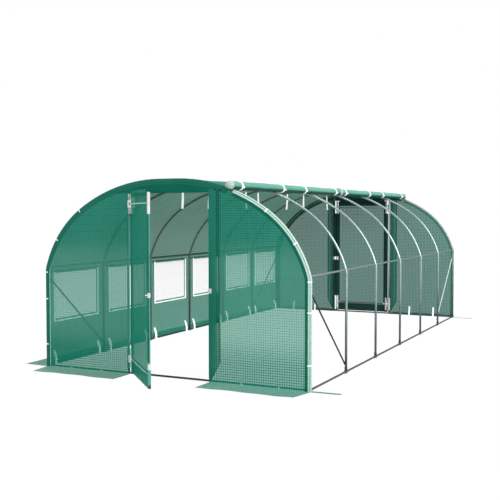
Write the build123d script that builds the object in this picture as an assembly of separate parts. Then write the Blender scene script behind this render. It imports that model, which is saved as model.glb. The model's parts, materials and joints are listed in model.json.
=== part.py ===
"""Polytunnel greenhouse: seven bent hoops, a woven cover rolled up on one side, a hinged door at each end.

X runs across the tunnel, Y along it from the front door to the rear one, and Z is up. Lengths are in
millimetres, angles in degrees. The origin is on the ground, in the middle of the box around the tunnel.
"""
from build123d import *
import os
from math import asin, cos, degrees, radians, sin, sqrt, tan

# The tunnel as a whole, measured over the cover
BAY_LENGTH = 1000.0
BAY_COUNT = 6
TUNNEL_WIDTH = 3000.0
TUNNEL_HEIGHT = 1957.0
COVER_THICKNESS = 2.0
FIT_GAP = 0.3
CUT_OVERRUN = 20.0

# The three-centred arch of a hoop: upright leg, eaves bend, haunch, crown and a short flat
HOOP_DIAMETER = 25.0
EAVES_HEIGHT = 1030.0
EAVES_BEND_RADIUS = 150.0
EAVES_LEAN_ANGLE = 16.0
HAUNCH_ANGLE = 40.0
CROWN_FLAT = 200.0

# The tubes that run along the tunnel and across its ends
RAIL_DIAMETER = 20.0
BASE_RAIL_HEIGHT = 15.0
BRACE_DIAMETER = 16.0
BRACE_TOP_HEIGHT = 950.0
BRACE_FOOT_HEIGHT = 95.0
BRACE_TAB_LENGTH = 70.0
BRACE_TAB_WIDTH = 24.0
BRACE_TAB_THICKNESS = 3.0
FOOT_HEIGHT = 60.0
FOOT_WALL = 3.0
FOOT_REACH = 55.0

# Windows in the left wall, one in each bay
WINDOW_WIDTH = 760.0
WINDOW_SILL_HEIGHT = 475.0
WINDOW_HEIGHT = 505.0
NET_THICKNESS = 1.0
NET_MARGIN = 18.0
FLAP_ROLL_DIAMETER = 34.0
FLAP_ROLL_MARGIN = 12.0
FLAP_ROLL_RISE = 16.0

# The cover of the right side, rolled up and tied beside the ridge
ROLL_DIAMETER = 90.0
ROLL_PLACE = 690.0
HEM_WIDTH = 55.0
SKIRT_WIDTH = 285.0

# Webbing: straps that hang on the left, and ties at the foot of the cover
TIE_WIDTH = 25.0
TIE_THICKNESS = 1.5
STRAP_PLACE = 560.0
STRAP_LENGTH = 225.0
STRAP_FROM_HOOP = 185.0
PANEL_BAYS = 3
TIE_FROM_HOOP = 110.0
TIE_HEIGHT = 140.0
END_TIE_PLACES = (800.0, 1180.0)

# Doorway and door, the same at both ends
DOORWAY_WIDTH = 910.0
HEADER_DROP = 137.0
DOOR_BOTTOM = 30.0
DOOR_HEAD_GAP = 8.0
DOOR_SIDE_GAP = 26.0
STILE_DIAMETER = 20.0
DOOR_RAIL_DIAMETER = 16.0
DOOR_COVER_MARGIN = 2.0
FRONT_DOOR_ANGLE = 46.0
REAR_DOOR_ANGLE = 0.0

# White plastic sleeves on the door, their hinges and the latch
SLEEVE_LENGTH = 197.0
SLEEVE_WALL = 4.2
POST_SLEEVE_WALL = 3.5
SOCKET_WALL = 1.7
SOCKET_REACH = 45.0
CAP_HEIGHT = 35.0
NOTCH_CLEARANCE = 4.0
HINGE_FORWARD = 30.0
PIN_DIAMETER = 8.0
KNUCKLE_DIAMETER = 18.0
KNUCKLE_HEIGHT = 24.0
KNUCKLE_GAP = 1.0
LUG_WIDTH = 12.0
LATCH_HEIGHT = 880.0
LATCH_CLAMP_LENGTH = 44.0
LATCH_PEG_DIAMETER = 12.0
LATCH_PEG_REACH = 34.0
HOOK_REACH = 40.0
HOOK_RISE = 26.0
HOOK_THICKNESS = 8.0

# Places that follow from the sizes above
HOOP_RADIUS = HOOP_DIAMETER / 2
RAIL_RADIUS = RAIL_DIAMETER / 2
STILE_RADIUS = STILE_DIAMETER / 2
PIN_RADIUS = PIN_DIAMETER / 2
HOOP_BORE = HOOP_RADIUS + FIT_GAP
COVER_INSIDE = HOOP_RADIUS + FIT_GAP
COVER_OUTSIDE = COVER_INSIDE + COVER_THICKNESS
LEG_X = TUNNEL_WIDTH / 2 - COVER_OUTSIDE
CROWN_Z = TUNNEL_HEIGHT - COVER_OUTSIDE
TUNNEL_LENGTH = BAY_LENGTH * BAY_COUNT
FRONT_Y = -TUNNEL_LENGTH / 2
REAR_Y = TUNNEL_LENGTH / 2
HOOP_YS = [FRONT_Y + BAY_LENGTH * i for i in range(BAY_COUNT + 1)]
END_FACE = COVER_OUTSIDE

# The arch closes on the crown: two sums, across and up, give the haunch and crown radii
LEG_TOP = EAVES_HEIGHT - EAVES_BEND_RADIUS * tan(radians(EAVES_LEAN_ANGLE / 2))
CROWN_START = EAVES_LEAN_ANGLE + HAUNCH_ANGLE
BEND_END_X = LEG_X - EAVES_BEND_RADIUS * (1 - cos(radians(EAVES_LEAN_ANGLE)))
BEND_END_Z = LEG_TOP + EAVES_BEND_RADIUS * sin(radians(EAVES_LEAN_ANGLE))
ACROSS = BEND_END_X - CROWN_FLAT / 2
UP = CROWN_Z - BEND_END_Z
HAUNCH_ACROSS = cos(radians(EAVES_LEAN_ANGLE)) - cos(radians(CROWN_START))
HAUNCH_UP = sin(radians(CROWN_START)) - sin(radians(EAVES_LEAN_ANGLE))
CROWN_ACROSS = cos(radians(CROWN_START))
CROWN_UP = 1 - sin(radians(CROWN_START))
CLOSURE = HAUNCH_ACROSS * CROWN_UP - CROWN_ACROSS * HAUNCH_UP
HAUNCH_RADIUS = (ACROSS * CROWN_UP - CROWN_ACROSS * UP) / CLOSURE
CROWN_RADIUS = (HAUNCH_ACROSS * UP - HAUNCH_UP * ACROSS) / CLOSURE
BEND_CENTRE = (LEG_X - EAVES_BEND_RADIUS, LEG_TOP)
HAUNCH_CENTRE = (
    BEND_END_X - HAUNCH_RADIUS * cos(radians(EAVES_LEAN_ANGLE)),
    BEND_END_Z - HAUNCH_RADIUS * sin(radians(EAVES_LEAN_ANGLE)),
)
CROWN_CENTRE = (CROWN_FLAT / 2, CROWN_Z - CROWN_RADIUS)

# The roll lies on the crown, and the roof ends beside it
ROLL_RADIUS = ROLL_DIAMETER / 2
ROLL_STANDOFF = CROWN_RADIUS + COVER_INSIDE + ROLL_RADIUS
ROLL_ANGLE = degrees(asin((ROLL_PLACE - CROWN_FLAT / 2) / ROLL_STANDOFF))
ROLL_Z = CROWN_CENTRE[1] + ROLL_STANDOFF * cos(radians(ROLL_ANGLE))
ROLL_TIE_OUTSIDE = ROLL_RADIUS + FIT_GAP + TIE_THICKNESS
ROLL_CLEARANCE = sqrt((ROLL_TIE_OUTSIDE + FIT_GAP) ** 2 - (ROLL_RADIUS - COVER_THICKNESS) ** 2)

# The header hangs below the crown, the door stands between the posts, and its pin stands forward of the gap
HEADER_UNDERSIDE = TUNNEL_HEIGHT - HEADER_DROP
DOOR_TOP = HEADER_UNDERSIDE - DOOR_HEAD_GAP
POST_X = DOORWAY_WIDTH / 2 + HOOP_RADIUS
SLEEVE_RADIUS = STILE_RADIUS + SLEEVE_WALL
STILE_X = DOORWAY_WIDTH / 2 - DOOR_SIDE_GAP - SLEEVE_RADIUS
HINGE_X = -(DOORWAY_WIDTH / 2 - DOOR_SIDE_GAP / 2)
HINGE_Y = -HINGE_FORWARD
TOP_SLEEVE_Z = DOOR_TOP - SLEEVE_LENGTH / 2
BOTTOM_SLEEVE_Z = DOOR_BOTTOM + CAP_HEIGHT + SLEEVE_LENGTH / 2
POST_SLEEVE_RADIUS = HOOP_RADIUS + FIT_GAP + POST_SLEEVE_WALL


def block(x0, x1, y0, y1, z0, z1):
    """A box between two corners."""
    middle = Pos((x0 + x1) / 2, (y0 + y1) / 2, (z0 + z1) / 2)
    return middle * Box(x1 - x0, y1 - y0, z1 - z0)


def rod(start, end, radius):
    """A round bar from one point to another."""
    along = Vector(*end) - Vector(*start)
    seat = Plane(origin=start, z_dir=along)
    return seat * Cylinder(radius, along.length, align=(Align.CENTER, Align.CENTER, Align.MIN))


def upright(x, y, z0, z1, radius):
    """A round bar that stands on end."""
    return rod((x, y, z0), (x, y, z1), radius)


def arch_lines(offset, side):
    """The arch on one side of the ridge, from the leg top to the ridge, moved outwards by offset."""
    lines = (
        CenterArc(BEND_CENTRE, EAVES_BEND_RADIUS + offset, 0, EAVES_LEAN_ANGLE)
        + CenterArc(HAUNCH_CENTRE, HAUNCH_RADIUS + offset, EAVES_LEAN_ANGLE, HAUNCH_ANGLE)
        + CenterArc(CROWN_CENTRE, CROWN_RADIUS + offset, CROWN_START, 90 - CROWN_START)
        + Line((CROWN_FLAT / 2, CROWN_Z + offset), (0, CROWN_Z + offset))
    )
    return lines if side > 0 else mirror(lines, about=Plane.YZ)


def arch_face(offset):
    """The whole end of the tunnel as a flat face on the XZ plane, moved outwards by offset."""
    leg = LEG_X + offset
    outline = (
        Line((-leg, 0), (leg, 0))
        + Line((leg, 0), (leg, LEG_TOP))
        + arch_lines(offset, 1)
        + arch_lines(offset, -1)
        + Line((-leg, LEG_TOP), (-leg, 0))
    )
    return Plane.XZ * make_face(outline)


def crown_point(x, offset):
    """A point of the crown at distance x from the ridge, moved outwards by offset."""
    reach = CROWN_RADIUS + offset
    return CROWN_CENTRE[1] + sqrt(reach**2 - (x - CROWN_FLAT / 2) ** 2)


def crown_slope(x):
    """How far the hoop falls at distance x from the ridge, as an angle."""
    return degrees(asin((x - CROWN_FLAT / 2) / CROWN_RADIUS))


def extruded(face, y0, y1):
    """A face of the XZ plane carried along the tunnel from y0 to y1."""
    return Pos(0, y0, 0) * extrude(face, amount=y1 - y0, dir=(0, 1, 0))


def hoop(y):
    """One hoop: two legs and two bent halves that meet at the eaves and the ridge."""
    pieces = []
    for side in (-1, 1):
        pieces.append(upright(side * LEG_X, y, 0, LEG_TOP - FIT_GAP, HOOP_RADIUS))
        lines = Pos(0, y, 0) * (Plane.XZ * arch_lines(0, side))
        path = Wire(lines.edges())
        section = Plane(origin=path @ 0, z_dir=path % 0) * Circle(HOOP_RADIUS)
        half = sweep(section, path=path)
        room = CROWN_Z + CUT_OVERRUN
        edge = FIT_GAP / 2
        far = LEG_X + CUT_OVERRUN
        keep = (edge, far) if side > 0 else (-far, -edge)
        pieces.append(half & block(*keep, y - HOOP_DIAMETER, y + HOOP_DIAMETER, 0, room))
    return pieces


def purlin(x, z, direction):
    """Tubes from hoop to hoop, each end hollowed to sit against the round of the hoop."""
    pieces = []
    reach = Vector(*direction).normalized() * HOOP_DIAMETER
    for y0, y1 in zip(HOOP_YS, HOOP_YS[1:]):
        bar = rod((x, y0, z), (x, y1, z), RAIL_RADIUS)
        for y in (y0, y1):
            seat = Vector(x, y, z)
            bar -= rod(tuple(seat - reach), tuple(seat + reach), HOOP_BORE)
        pieces.append(bar)
    return pieces


def eaves_purlin(side):
    """The purlin at the end of the eaves bend, on the lean of the hoop there."""
    lean = radians(EAVES_LEAN_ANGLE)
    return purlin(side * BEND_END_X, BEND_END_Z, (-side * sin(lean), 0, cos(lean)))


def base_rail(side):
    """Tubes along the ground between the feet of the hoops."""
    x = side * LEG_X
    return [
        rod((x, y0 + HOOP_BORE, BASE_RAIL_HEIGHT), (x, y1 - HOOP_BORE, BASE_RAIL_HEIGHT), RAIL_RADIUS)
        for y0, y1 in zip(HOOP_YS, HOOP_YS[1:])
    ]


def foot_tee(side, index):
    """A saddle tee: it holds one hoop's leg and the rails that meet there, and is open to the cover."""
    y = HOOP_YS[index]
    x = side * LEG_X
    first = index == 0
    last = index == BAY_COUNT
    ends = []
    if not first:
        ends.append((x, y - FOOT_REACH, BASE_RAIL_HEIGHT))
    if not last:
        ends.append((x, y + FOOT_REACH, BASE_RAIL_HEIGHT))
    if first or last:
        ends.append((x - side * FOOT_REACH, y, BASE_RAIL_HEIGHT))
    tee = upright(x, y, 0, FOOT_HEIGHT, HOOP_BORE + FOOT_WALL)
    centre = (x, y, BASE_RAIL_HEIGHT)
    socket = RAIL_RADIUS + FIT_GAP
    for end in ends:
        tee += rod(centre, end, socket + FOOT_WALL - FIT_GAP)
    tee -= upright(x, y, 0, FOOT_HEIGHT, HOOP_BORE)
    for end in ends:
        tee -= rod(centre, end, socket)
    outer = x + side * HOOP_RADIUS
    inner = x - side * (FOOT_REACH + CUT_OVERRUN)
    front = y - (HOOP_RADIUS if first else FOOT_REACH)
    back = y + (HOOP_RADIUS if last else FOOT_REACH)
    near_x, far_x = sorted((outer, inner))
    tee &= block(near_x, far_x, front, back, 0, FOOT_HEIGHT)
    if first or last:
        corner_x = sorted((x, outer))
        corner_y = (front, y) if first else (y, back)
        tee -= block(*corner_x, *corner_y, 0, FOOT_HEIGHT)
    return tee


def brace(side, hoop_y, next_y):
    """A diagonal from an end hoop under the eaves to the foot of the next, its flattened ends bolted on."""
    x = side * (LEG_X - HOOP_BORE - BRACE_TAB_THICKNESS / 2)
    top = Vector(x, hoop_y, BRACE_TOP_HEIGHT)
    foot = Vector(x, next_y, BRACE_FOOT_HEIGHT)
    along = (foot - top).normalized()
    bar = rod(tuple(top + along * BRACE_TAB_LENGTH), tuple(foot - along * BRACE_TAB_LENGTH), BRACE_DIAMETER / 2)
    for end, inward in ((top, along), (foot, along * -1)):
        plane = Plane(origin=tuple(end), x_dir=tuple(inward), z_dir=(side, 0, 0))
        length = BRACE_TAB_LENGTH + BRACE_TAB_WIDTH
        tab = Pos(length / 2 - BRACE_TAB_WIDTH / 2, 0, 0) * SlotOverall(length, BRACE_TAB_WIDTH)
        bar += plane * extrude(tab, amount=BRACE_TAB_THICKNESS / 2, both=True)
    return bar


def side_cover():
    """The cover as a thin arch along the whole tunnel, before it is parted into wall, roof and hems."""
    skin = arch_face(COVER_OUTSIDE) - arch_face(COVER_INSIDE)
    return extruded(skin, FRONT_Y - END_FACE, REAR_Y + END_FACE)


def roll_wedge(start, stop):
    """A wedge from the centre of the crown, used to part the cover beside the roll."""
    reach = CROWN_RADIUS + COVER_OUTSIDE + CUT_OVERRUN
    reach /= cos(radians((stop - start) / 2))
    base = Vector(*CROWN_CENTRE)
    points = [base]
    for angle in (start, stop):
        points.append(base + Vector(sin(radians(angle)), cos(radians(angle))) * reach)
    wedge = Plane.XZ * make_face(Polyline(*points, close=True))
    return extruded(wedge, FRONT_Y - END_FACE - CUT_OVERRUN, REAR_Y + END_FACE + CUT_OVERRUN)


def left_wall():
    """The flat wall below the eaves on the left, with a window cut through it in each bay."""
    wall = block(
        -(LEG_X + COVER_OUTSIDE), -(LEG_X + COVER_INSIDE), FRONT_Y - END_FACE, REAR_Y + END_FACE, 0, LEG_TOP
    )
    for y in bay_middles():
        wall -= block(
            -(LEG_X + COVER_OUTSIDE + CUT_OVERRUN),
            -LEG_X,
            y - WINDOW_WIDTH / 2,
            y + WINDOW_WIDTH / 2,
            WINDOW_SILL_HEIGHT,
            WINDOW_SILL_HEIGHT + WINDOW_HEIGHT,
        )
    return wall


def bay_middles():
    """The middle of each bay."""
    return [(y0 + y1) / 2 for y0, y1 in zip(HOOP_YS, HOOP_YS[1:])]


def roof_cover(skin):
    """The curved cover from the left eaves over the ridge to the roll."""
    edge = ROLL_ANGLE - degrees(ROLL_CLEARANCE / (CROWN_RADIUS + COVER_INSIDE))
    past = 90 - CROWN_START
    whole = skin & block(
        -TUNNEL_WIDTH, ROLL_PLACE, FRONT_Y - END_FACE, REAR_Y + END_FACE, LEG_TOP + FIT_GAP, TUNNEL_HEIGHT
    )
    return whole - roll_wedge(edge, past)


def right_hem(skin, y0, y1):
    """What is left of the right side at an end hoop: a strip down the hoop and its tail on the ground."""
    edge = ROLL_ANGLE + degrees(ROLL_CLEARANCE / (CROWN_RADIUS + COVER_INSIDE))
    strip = skin & block(ROLL_PLACE, TUNNEL_WIDTH, y0, y1, 0, TUNNEL_HEIGHT)
    strip -= roll_wedge(0, edge)
    outer = LEG_X + COVER_OUTSIDE
    tail = block(outer + FIT_GAP, outer + SKIRT_WIDTH, y0, y1, 0, COVER_THICKNESS)
    return [strip, tail]


def window_nets():
    """Fine nets on the inside of the windows, a little larger than the openings."""
    x = -(LEG_X + COVER_INSIDE - FIT_GAP)
    return [
        block(
            x,
            x + NET_THICKNESS,
            y - WINDOW_WIDTH / 2 - NET_MARGIN,
            y + WINDOW_WIDTH / 2 + NET_MARGIN,
            WINDOW_SILL_HEIGHT - NET_MARGIN,
            WINDOW_SILL_HEIGHT + WINDOW_HEIGHT + NET_MARGIN,
        )
        for y in bay_middles()
    ]


def window_flaps():
    """The flaps of the windows, rolled up on the outside just over the openings."""
    x = -(LEG_X + COVER_OUTSIDE + FIT_GAP + FLAP_ROLL_DIAMETER / 2)
    z = WINDOW_SILL_HEIGHT + WINDOW_HEIGHT + FLAP_ROLL_RISE
    half = WINDOW_WIDTH / 2 + FLAP_ROLL_MARGIN
    return [rod((x, y - half, z), (x, y + half, z), FLAP_ROLL_DIAMETER / 2) for y in bay_middles()]


def strap_places():
    """Where the straps are sewn on: near both ends of each panel of the cover, and of its middle bays."""
    places = []
    for first in range(0, BAY_COUNT, PANEL_BAYS):
        start = HOOP_YS[first]
        stop = HOOP_YS[first + PANEL_BAYS]
        for inset in (0, BAY_LENGTH):
            places += [start + inset + STRAP_FROM_HOOP, stop - inset - STRAP_FROM_HOOP]
    return places


def roll_ties():
    """Straps round the rolled cover."""
    ring = Circle(ROLL_TIE_OUTSIDE) - Circle(ROLL_RADIUS + FIT_GAP)
    seat = Pos(ROLL_PLACE, 0, ROLL_Z) * (Plane.XZ * ring)
    return [extruded(seat, y - TIE_WIDTH / 2, y + TIE_WIDTH / 2) for y in strap_places()]


def hanging_straps():
    """The straps of the left side, which hang loose from the roof."""
    outer = STRAP_PLACE + TIE_THICKNESS
    top = crown_point(outer, COVER_INSIDE) - FIT_GAP
    return [
        block(-outer, -STRAP_PLACE, y - TIE_WIDTH / 2, y + TIE_WIDTH / 2, top - STRAP_LENGTH, top)
        for y in strap_places()
    ]


def base_tie():
    """A tie seen along its bar, which runs along Y through the origin: up the cover and under the bar."""
    inside = RAIL_RADIUS + FIT_GAP
    outside = inside + TIE_THICKNESS
    loop = Circle(outside) - Circle(inside)
    loop &= Pos(0, -outside / 2) * Rectangle(2 * outside, outside)
    rise = TIE_HEIGHT - BASE_RAIL_HEIGHT
    loop += Pos((inside + outside) / 2, rise / 2) * Rectangle(TIE_THICKNESS, rise)
    tie = extrude(Plane.XZ * loop, amount=TIE_WIDTH / 2, both=True)
    return tie


def wall_ties():
    """Ties on both sides of every hoop along the left wall."""
    places = []
    for y in HOOP_YS:
        places += [y - TIE_FROM_HOOP, y + TIE_FROM_HOOP]
    places = [y for y in places if FRONT_Y < y < REAR_Y]
    seat = Pos(-LEG_X, 0, BASE_RAIL_HEIGHT) * Rot(0, 0, 180)
    return [Pos(0, y, 0) * seat * base_tie() for y in places]


def end_ties():
    """Ties along the foot of one end, two on each side of the doorway."""
    seat = Pos(0, 0, BASE_RAIL_HEIGHT) * Rot(0, 0, -90)
    places = [side * x for x in END_TIE_PLACES for side in (-1, 1)]
    return [Pos(x, 0, 0) * seat * base_tie() for x in places]


def base_bar():
    """The tube across the foot of one end, from leg to leg."""
    reach = LEG_X - HOOP_BORE
    return rod((-reach, 0, BASE_RAIL_HEIGHT), (reach, 0, BASE_RAIL_HEIGHT), RAIL_RADIUS)


def door_surround():
    """Two posts from the base bar up to the arch, and the header between them."""
    pieces = []
    top = crown_point(POST_X, 0)
    slope = radians(crown_slope(POST_X))
    for side in (-1, 1):
        x = side * POST_X
        post = upright(x, 0, BASE_RAIL_HEIGHT, top, HOOP_RADIUS)
        post -= rod((x - HOOP_DIAMETER, 0, BASE_RAIL_HEIGHT), (x + HOOP_DIAMETER, 0, BASE_RAIL_HEIGHT),
                    RAIL_RADIUS + FIT_GAP)
        along = Vector(cos(slope), 0, -side * sin(slope)) * (2 * HOOP_DIAMETER)
        seat = Vector(x, 0, top)
        post -= rod(tuple(seat - along), tuple(seat + along), HOOP_BORE)
        pieces.append(post)
    height = HEADER_UNDERSIDE + RAIL_RADIUS
    header = rod((-POST_X, 0, height), (POST_X, 0, height), RAIL_RADIUS)
    for side in (-1, 1):
        header -= upright(side * POST_X, 0, height - HOOP_DIAMETER, height + HOOP_DIAMETER, HOOP_BORE)
    pieces.append(header)
    return pieces


def end_sheet():
    """The flat cover of one end, up to the outside of the hoop, before the doorway parts it."""
    return extruded(arch_face(HOOP_RADIUS), -END_FACE, -COVER_INSIDE)


def post_notches():
    """Room in the end cover for the sleeves and the keeper that are clamped round the posts."""
    half = POST_SLEEVE_RADIUS + NOTCH_CLEARANCE
    notches = []
    for side, z, length in (
        (-1, TOP_SLEEVE_Z, SLEEVE_LENGTH),
        (-1, BOTTOM_SLEEVE_Z, SLEEVE_LENGTH),
        (1, LATCH_HEIGHT, LATCH_CLAMP_LENGTH),
    ):
        x = side * POST_X
        rise = length / 2 + NOTCH_CLEARANCE
        notches.append(block(x - half, x + half, -END_FACE - CUT_OVERRUN, 0, z - rise, z + rise))
    return notches


def end_panel(side):
    """The end cover on one side of the doorway."""
    edge = DOORWAY_WIDTH / 2
    near, far = sorted((side * edge, side * TUNNEL_WIDTH))
    panel = end_sheet() & block(near, far, -END_FACE, 0, 0, TUNNEL_HEIGHT)
    for notch in post_notches():
        panel -= notch
    return panel


def end_panel_top():
    """The end cover over the doorway."""
    edge = DOORWAY_WIDTH / 2 - FIT_GAP
    return end_sheet() & block(-edge, edge, -END_FACE, 0, HEADER_UNDERSIDE, TUNNEL_HEIGHT)


def end_skirts():
    """The cover's skirts on the ground in front of one end, on both sides of the doorway."""
    near = -END_FACE - FIT_GAP
    far = -END_FACE - SKIRT_WIDTH
    left = block(-LEG_X, -POST_X, far, near, 0, COVER_THICKNESS)
    right = block(POST_X, LEG_X, far, near, 0, COVER_THICKNESS)
    return [left, right]


def left_skirt():
    """The cover's skirt on the ground along the left wall."""
    outer = LEG_X + COVER_OUTSIDE
    front = FRONT_Y - END_FACE
    rear = REAR_Y + END_FACE
    return block(-(outer + SKIRT_WIDTH), -(outer + FIT_GAP), front, rear, 0, COVER_THICKNESS)


def lug(centre_x, z0, z1):
    """A hinge lug from a sleeve's axis to the pin, with a round knuckle on the pin."""
    start = Vector(centre_x, 0)
    pin = Vector(HINGE_X, HINGE_Y)
    along = pin - start
    arm = Plane(origin=(centre_x, 0, z0), x_dir=(along.X, along.Y, 0), z_dir=(0, 0, 1))
    plate = Pos(along.length / 2, 0) * Rectangle(along.length, LUG_WIDTH)
    shape = arm * extrude(plate, amount=z1 - z0)
    return shape + upright(HINGE_X, HINGE_Y, z0, z1, KNUCKLE_DIAMETER / 2)


def post_hinge(z):
    """A sleeve on the hinge post with one lug and the pin that stands out above and below it."""
    half = KNUCKLE_HEIGHT / 2
    shape = upright(-POST_X, 0, z - SLEEVE_LENGTH / 2, z + SLEEVE_LENGTH / 2, POST_SLEEVE_RADIUS)
    shape += lug(-POST_X, z - half, z + half)
    reach = half + KNUCKLE_GAP + KNUCKLE_HEIGHT
    shape += upright(HINGE_X, HINGE_Y, z - reach, z + reach, PIN_RADIUS)
    return shape - upright(-POST_X, 0, z - SLEEVE_LENGTH, z + SLEEVE_LENGTH, HOOP_BORE)


def latch_keeper():
    """A clamp on the other post with a hook for the latch cord."""
    half = LATCH_CLAMP_LENGTH / 2
    clamp = upright(POST_X, 0, LATCH_HEIGHT - half, LATCH_HEIGHT + half, POST_SLEEVE_RADIUS)
    thick = HOOK_THICKNESS / 2
    clamp += block(POST_X - thick, POST_X + thick, -HOOK_REACH, 0, LATCH_HEIGHT - thick, LATCH_HEIGHT + thick)
    clamp += upright(POST_X, -HOOK_REACH, LATCH_HEIGHT - thick, LATCH_HEIGHT + HOOK_RISE, thick)
    return clamp - upright(POST_X, 0, LATCH_HEIGHT - 2 * half, LATCH_HEIGHT + 2 * half, HOOP_BORE)


def door_frame():
    """Two stiles and, between them, two rails that end in the sockets of the sleeves."""
    pieces = [upright(side * STILE_X, 0, DOOR_BOTTOM + CAP_HEIGHT, DOOR_TOP, STILE_RADIUS) for side in (-1, 1)]
    reach = STILE_X - STILE_RADIUS - FIT_GAP
    for z in (TOP_SLEEVE_Z, BOTTOM_SLEEVE_Z):
        pieces.append(rod((-reach, 0, z), (reach, 0, z), DOOR_RAIL_DIAMETER / 2))
    return pieces


def door_sleeve(side, z):
    """A tee sleeve on a stile, with a socket for the rail and, on the hinge side, lugs on the pin."""
    x = side * STILE_X
    bore = STILE_RADIUS + FIT_GAP
    socket = DOOR_RAIL_DIAMETER / 2 + FIT_GAP
    half = SLEEVE_LENGTH / 2
    end = (x - side * SOCKET_REACH, 0, z)
    shape = upright(x, 0, z - half, z + half, SLEEVE_RADIUS)
    shape += rod((x, 0, z), end, socket + SOCKET_WALL)
    if side < 0:
        near = KNUCKLE_HEIGHT / 2 + KNUCKLE_GAP
        far = near + KNUCKLE_HEIGHT
        shape += lug(x, z + near, z + far)
        shape += lug(x, z - far, z - near)
        shape -= upright(HINGE_X, HINGE_Y, z - half, z + half, PIN_RADIUS + FIT_GAP)
    shape -= upright(x, 0, z - SLEEVE_LENGTH, z + SLEEVE_LENGTH, bore)
    return shape - rod((x, 0, z), end, socket)


def door_latch():
    """A clamp with a round peg on the free stile."""
    half = LATCH_CLAMP_LENGTH / 2
    clamp = upright(STILE_X, 0, LATCH_HEIGHT - half, LATCH_HEIGHT + half, SLEEVE_RADIUS)
    clamp += rod((STILE_X, 0, LATCH_HEIGHT), (STILE_X, -LATCH_PEG_REACH, LATCH_HEIGHT), LATCH_PEG_DIAMETER / 2)
    return clamp - upright(STILE_X, 0, LATCH_HEIGHT - 2 * half, LATCH_HEIGHT + 2 * half, STILE_RADIUS + FIT_GAP)


def door_caps():
    """End caps on the feet of the stiles."""
    top = DOOR_BOTTOM + CAP_HEIGHT - FIT_GAP
    return [upright(side * STILE_X, 0, DOOR_BOTTOM, top, SLEEVE_RADIUS) for side in (-1, 1)]


def door_cover():
    """The door's own sheet on the outside of its frame, cut back round the sleeves and the latch."""
    inner = STILE_RADIUS + FIT_GAP
    half = STILE_X + STILE_RADIUS
    bottom = DOOR_BOTTOM + DOOR_COVER_MARGIN
    top = DOOR_TOP - DOOR_COVER_MARGIN
    sheet = block(-half, half, -inner - COVER_THICKNESS, -inner, bottom, top)
    room = SLEEVE_RADIUS + NOTCH_CLEARANCE
    for side in (-1, 1):
        places = [(TOP_SLEEVE_Z, SLEEVE_LENGTH), (BOTTOM_SLEEVE_Z, SLEEVE_LENGTH)]
        if side > 0:
            places.append((LATCH_HEIGHT, LATCH_CLAMP_LENGTH))
        x = side * STILE_X
        for z, length in places:
            rise = length / 2 + NOTCH_CLEARANCE
            low = z - rise - (CAP_HEIGHT if z == BOTTOM_SLEEVE_Z else 0)
            sheet -= block(x - room, x + room, -inner - CUT_OVERRUN, 0, low, z + rise)
    return sheet


def door_pieces():
    """One door, closed, by the names of its nodes."""
    fittings = [door_sleeve(side, z) for side in (-1, 1) for z in (TOP_SLEEVE_Z, BOTTOM_SLEEVE_Z)]
    return {
        "door_frame": door_frame(),
        "door_cover": [door_cover()],
        "door_sleeves": fittings + [door_latch()],
        "door_caps": door_caps(),
    }


def end_pieces():
    """One end without its door, by the names of its nodes. It faces towards the front."""
    return {
        "base_bar": [base_bar()],
        "door_surround": door_surround(),
        "panel_left": [end_panel(-1)],
        "panel_right": [end_panel(1)],
        "panel_top": [end_panel_top()],
        "skirts": end_skirts(),
        "ties": end_ties(),
        "post_fittings": [post_hinge(TOP_SLEEVE_Z), post_hinge(BOTTOM_SLEEVE_Z), latch_keeper()],
    }


def tunnel_pieces():
    """Everything, by node name, in a frame whose origin is under the middle of the ridge."""
    skin = side_cover()
    pieces = {f"hoop_{i + 1}": hoop(y) for i, y in enumerate(HOOP_YS)}
    pieces["eaves_purlins"] = eaves_purlin(-1) + eaves_purlin(1)
    pieces["ridge_beam"] = purlin(0, CROWN_Z, (1, 0, 0))
    pieces["base_rails"] = base_rail(-1) + base_rail(1)
    pieces["foot_tees"] = [foot_tee(side, i) for side in (-1, 1) for i in range(BAY_COUNT + 1)]
    braced = ((HOOP_YS[0], HOOP_YS[1]), (HOOP_YS[-1], HOOP_YS[-2]))
    pieces["diagonal_braces"] = [brace(side, *bay) for bay in braced for side in (-1, 1)]
    pieces["left_wall_cover"] = [left_wall()]
    pieces["roof_cover"] = [roof_cover(skin)]
    pieces["left_skirt"] = [left_skirt()]
    front, rear = FRONT_Y - END_FACE, REAR_Y + END_FACE
    pieces["right_hems"] = right_hem(skin, front, front + HEM_WIDTH) + right_hem(skin, rear - HEM_WIDTH, rear)
    pieces["window_nets"] = window_nets()
    pieces["window_flaps"] = window_flaps()
    pieces["rolled_side_cover"] = [rod((ROLL_PLACE, front, ROLL_Z), (ROLL_PLACE, rear, ROLL_Z), ROLL_RADIUS)]
    pieces["roll_ties"] = roll_ties()
    pieces["hanging_straps"] = hanging_straps()
    pieces["wall_ties"] = wall_ties()
    turn = Pos(HINGE_X, HINGE_Y, 0)
    ends = (
        ("front", Pos(0, FRONT_Y, 0), FRONT_DOOR_ANGLE),
        ("rear", Pos(0, REAR_Y, 0) * Rot(0, 0, 180), REAR_DOOR_ANGLE),
    )
    for name, place, opening in ends:
        for node, solids in end_pieces().items():
            pieces[f"{name}_{node}"] = [place * solid for solid in solids]
        swing = place * turn * Rot(0, 0, -opening) * turn.inverse()
        for node, solids in door_pieces().items():
            pieces[f"{name}_{node}"] = [swing * solid for solid in solids]
    return pieces


def centred(pieces):
    """The pieces moved along the tunnel until the box around them has its middle over the origin."""
    solids = [solid for shapes in pieces.values() for shape in shapes for solid in shape.solids()]
    middle = Compound(children=solids).bounding_box().center()
    move = Pos(0, -middle.Y, 0)
    return {name: [move * shape for shape in shapes] for name, shapes in pieces.items()}


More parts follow.
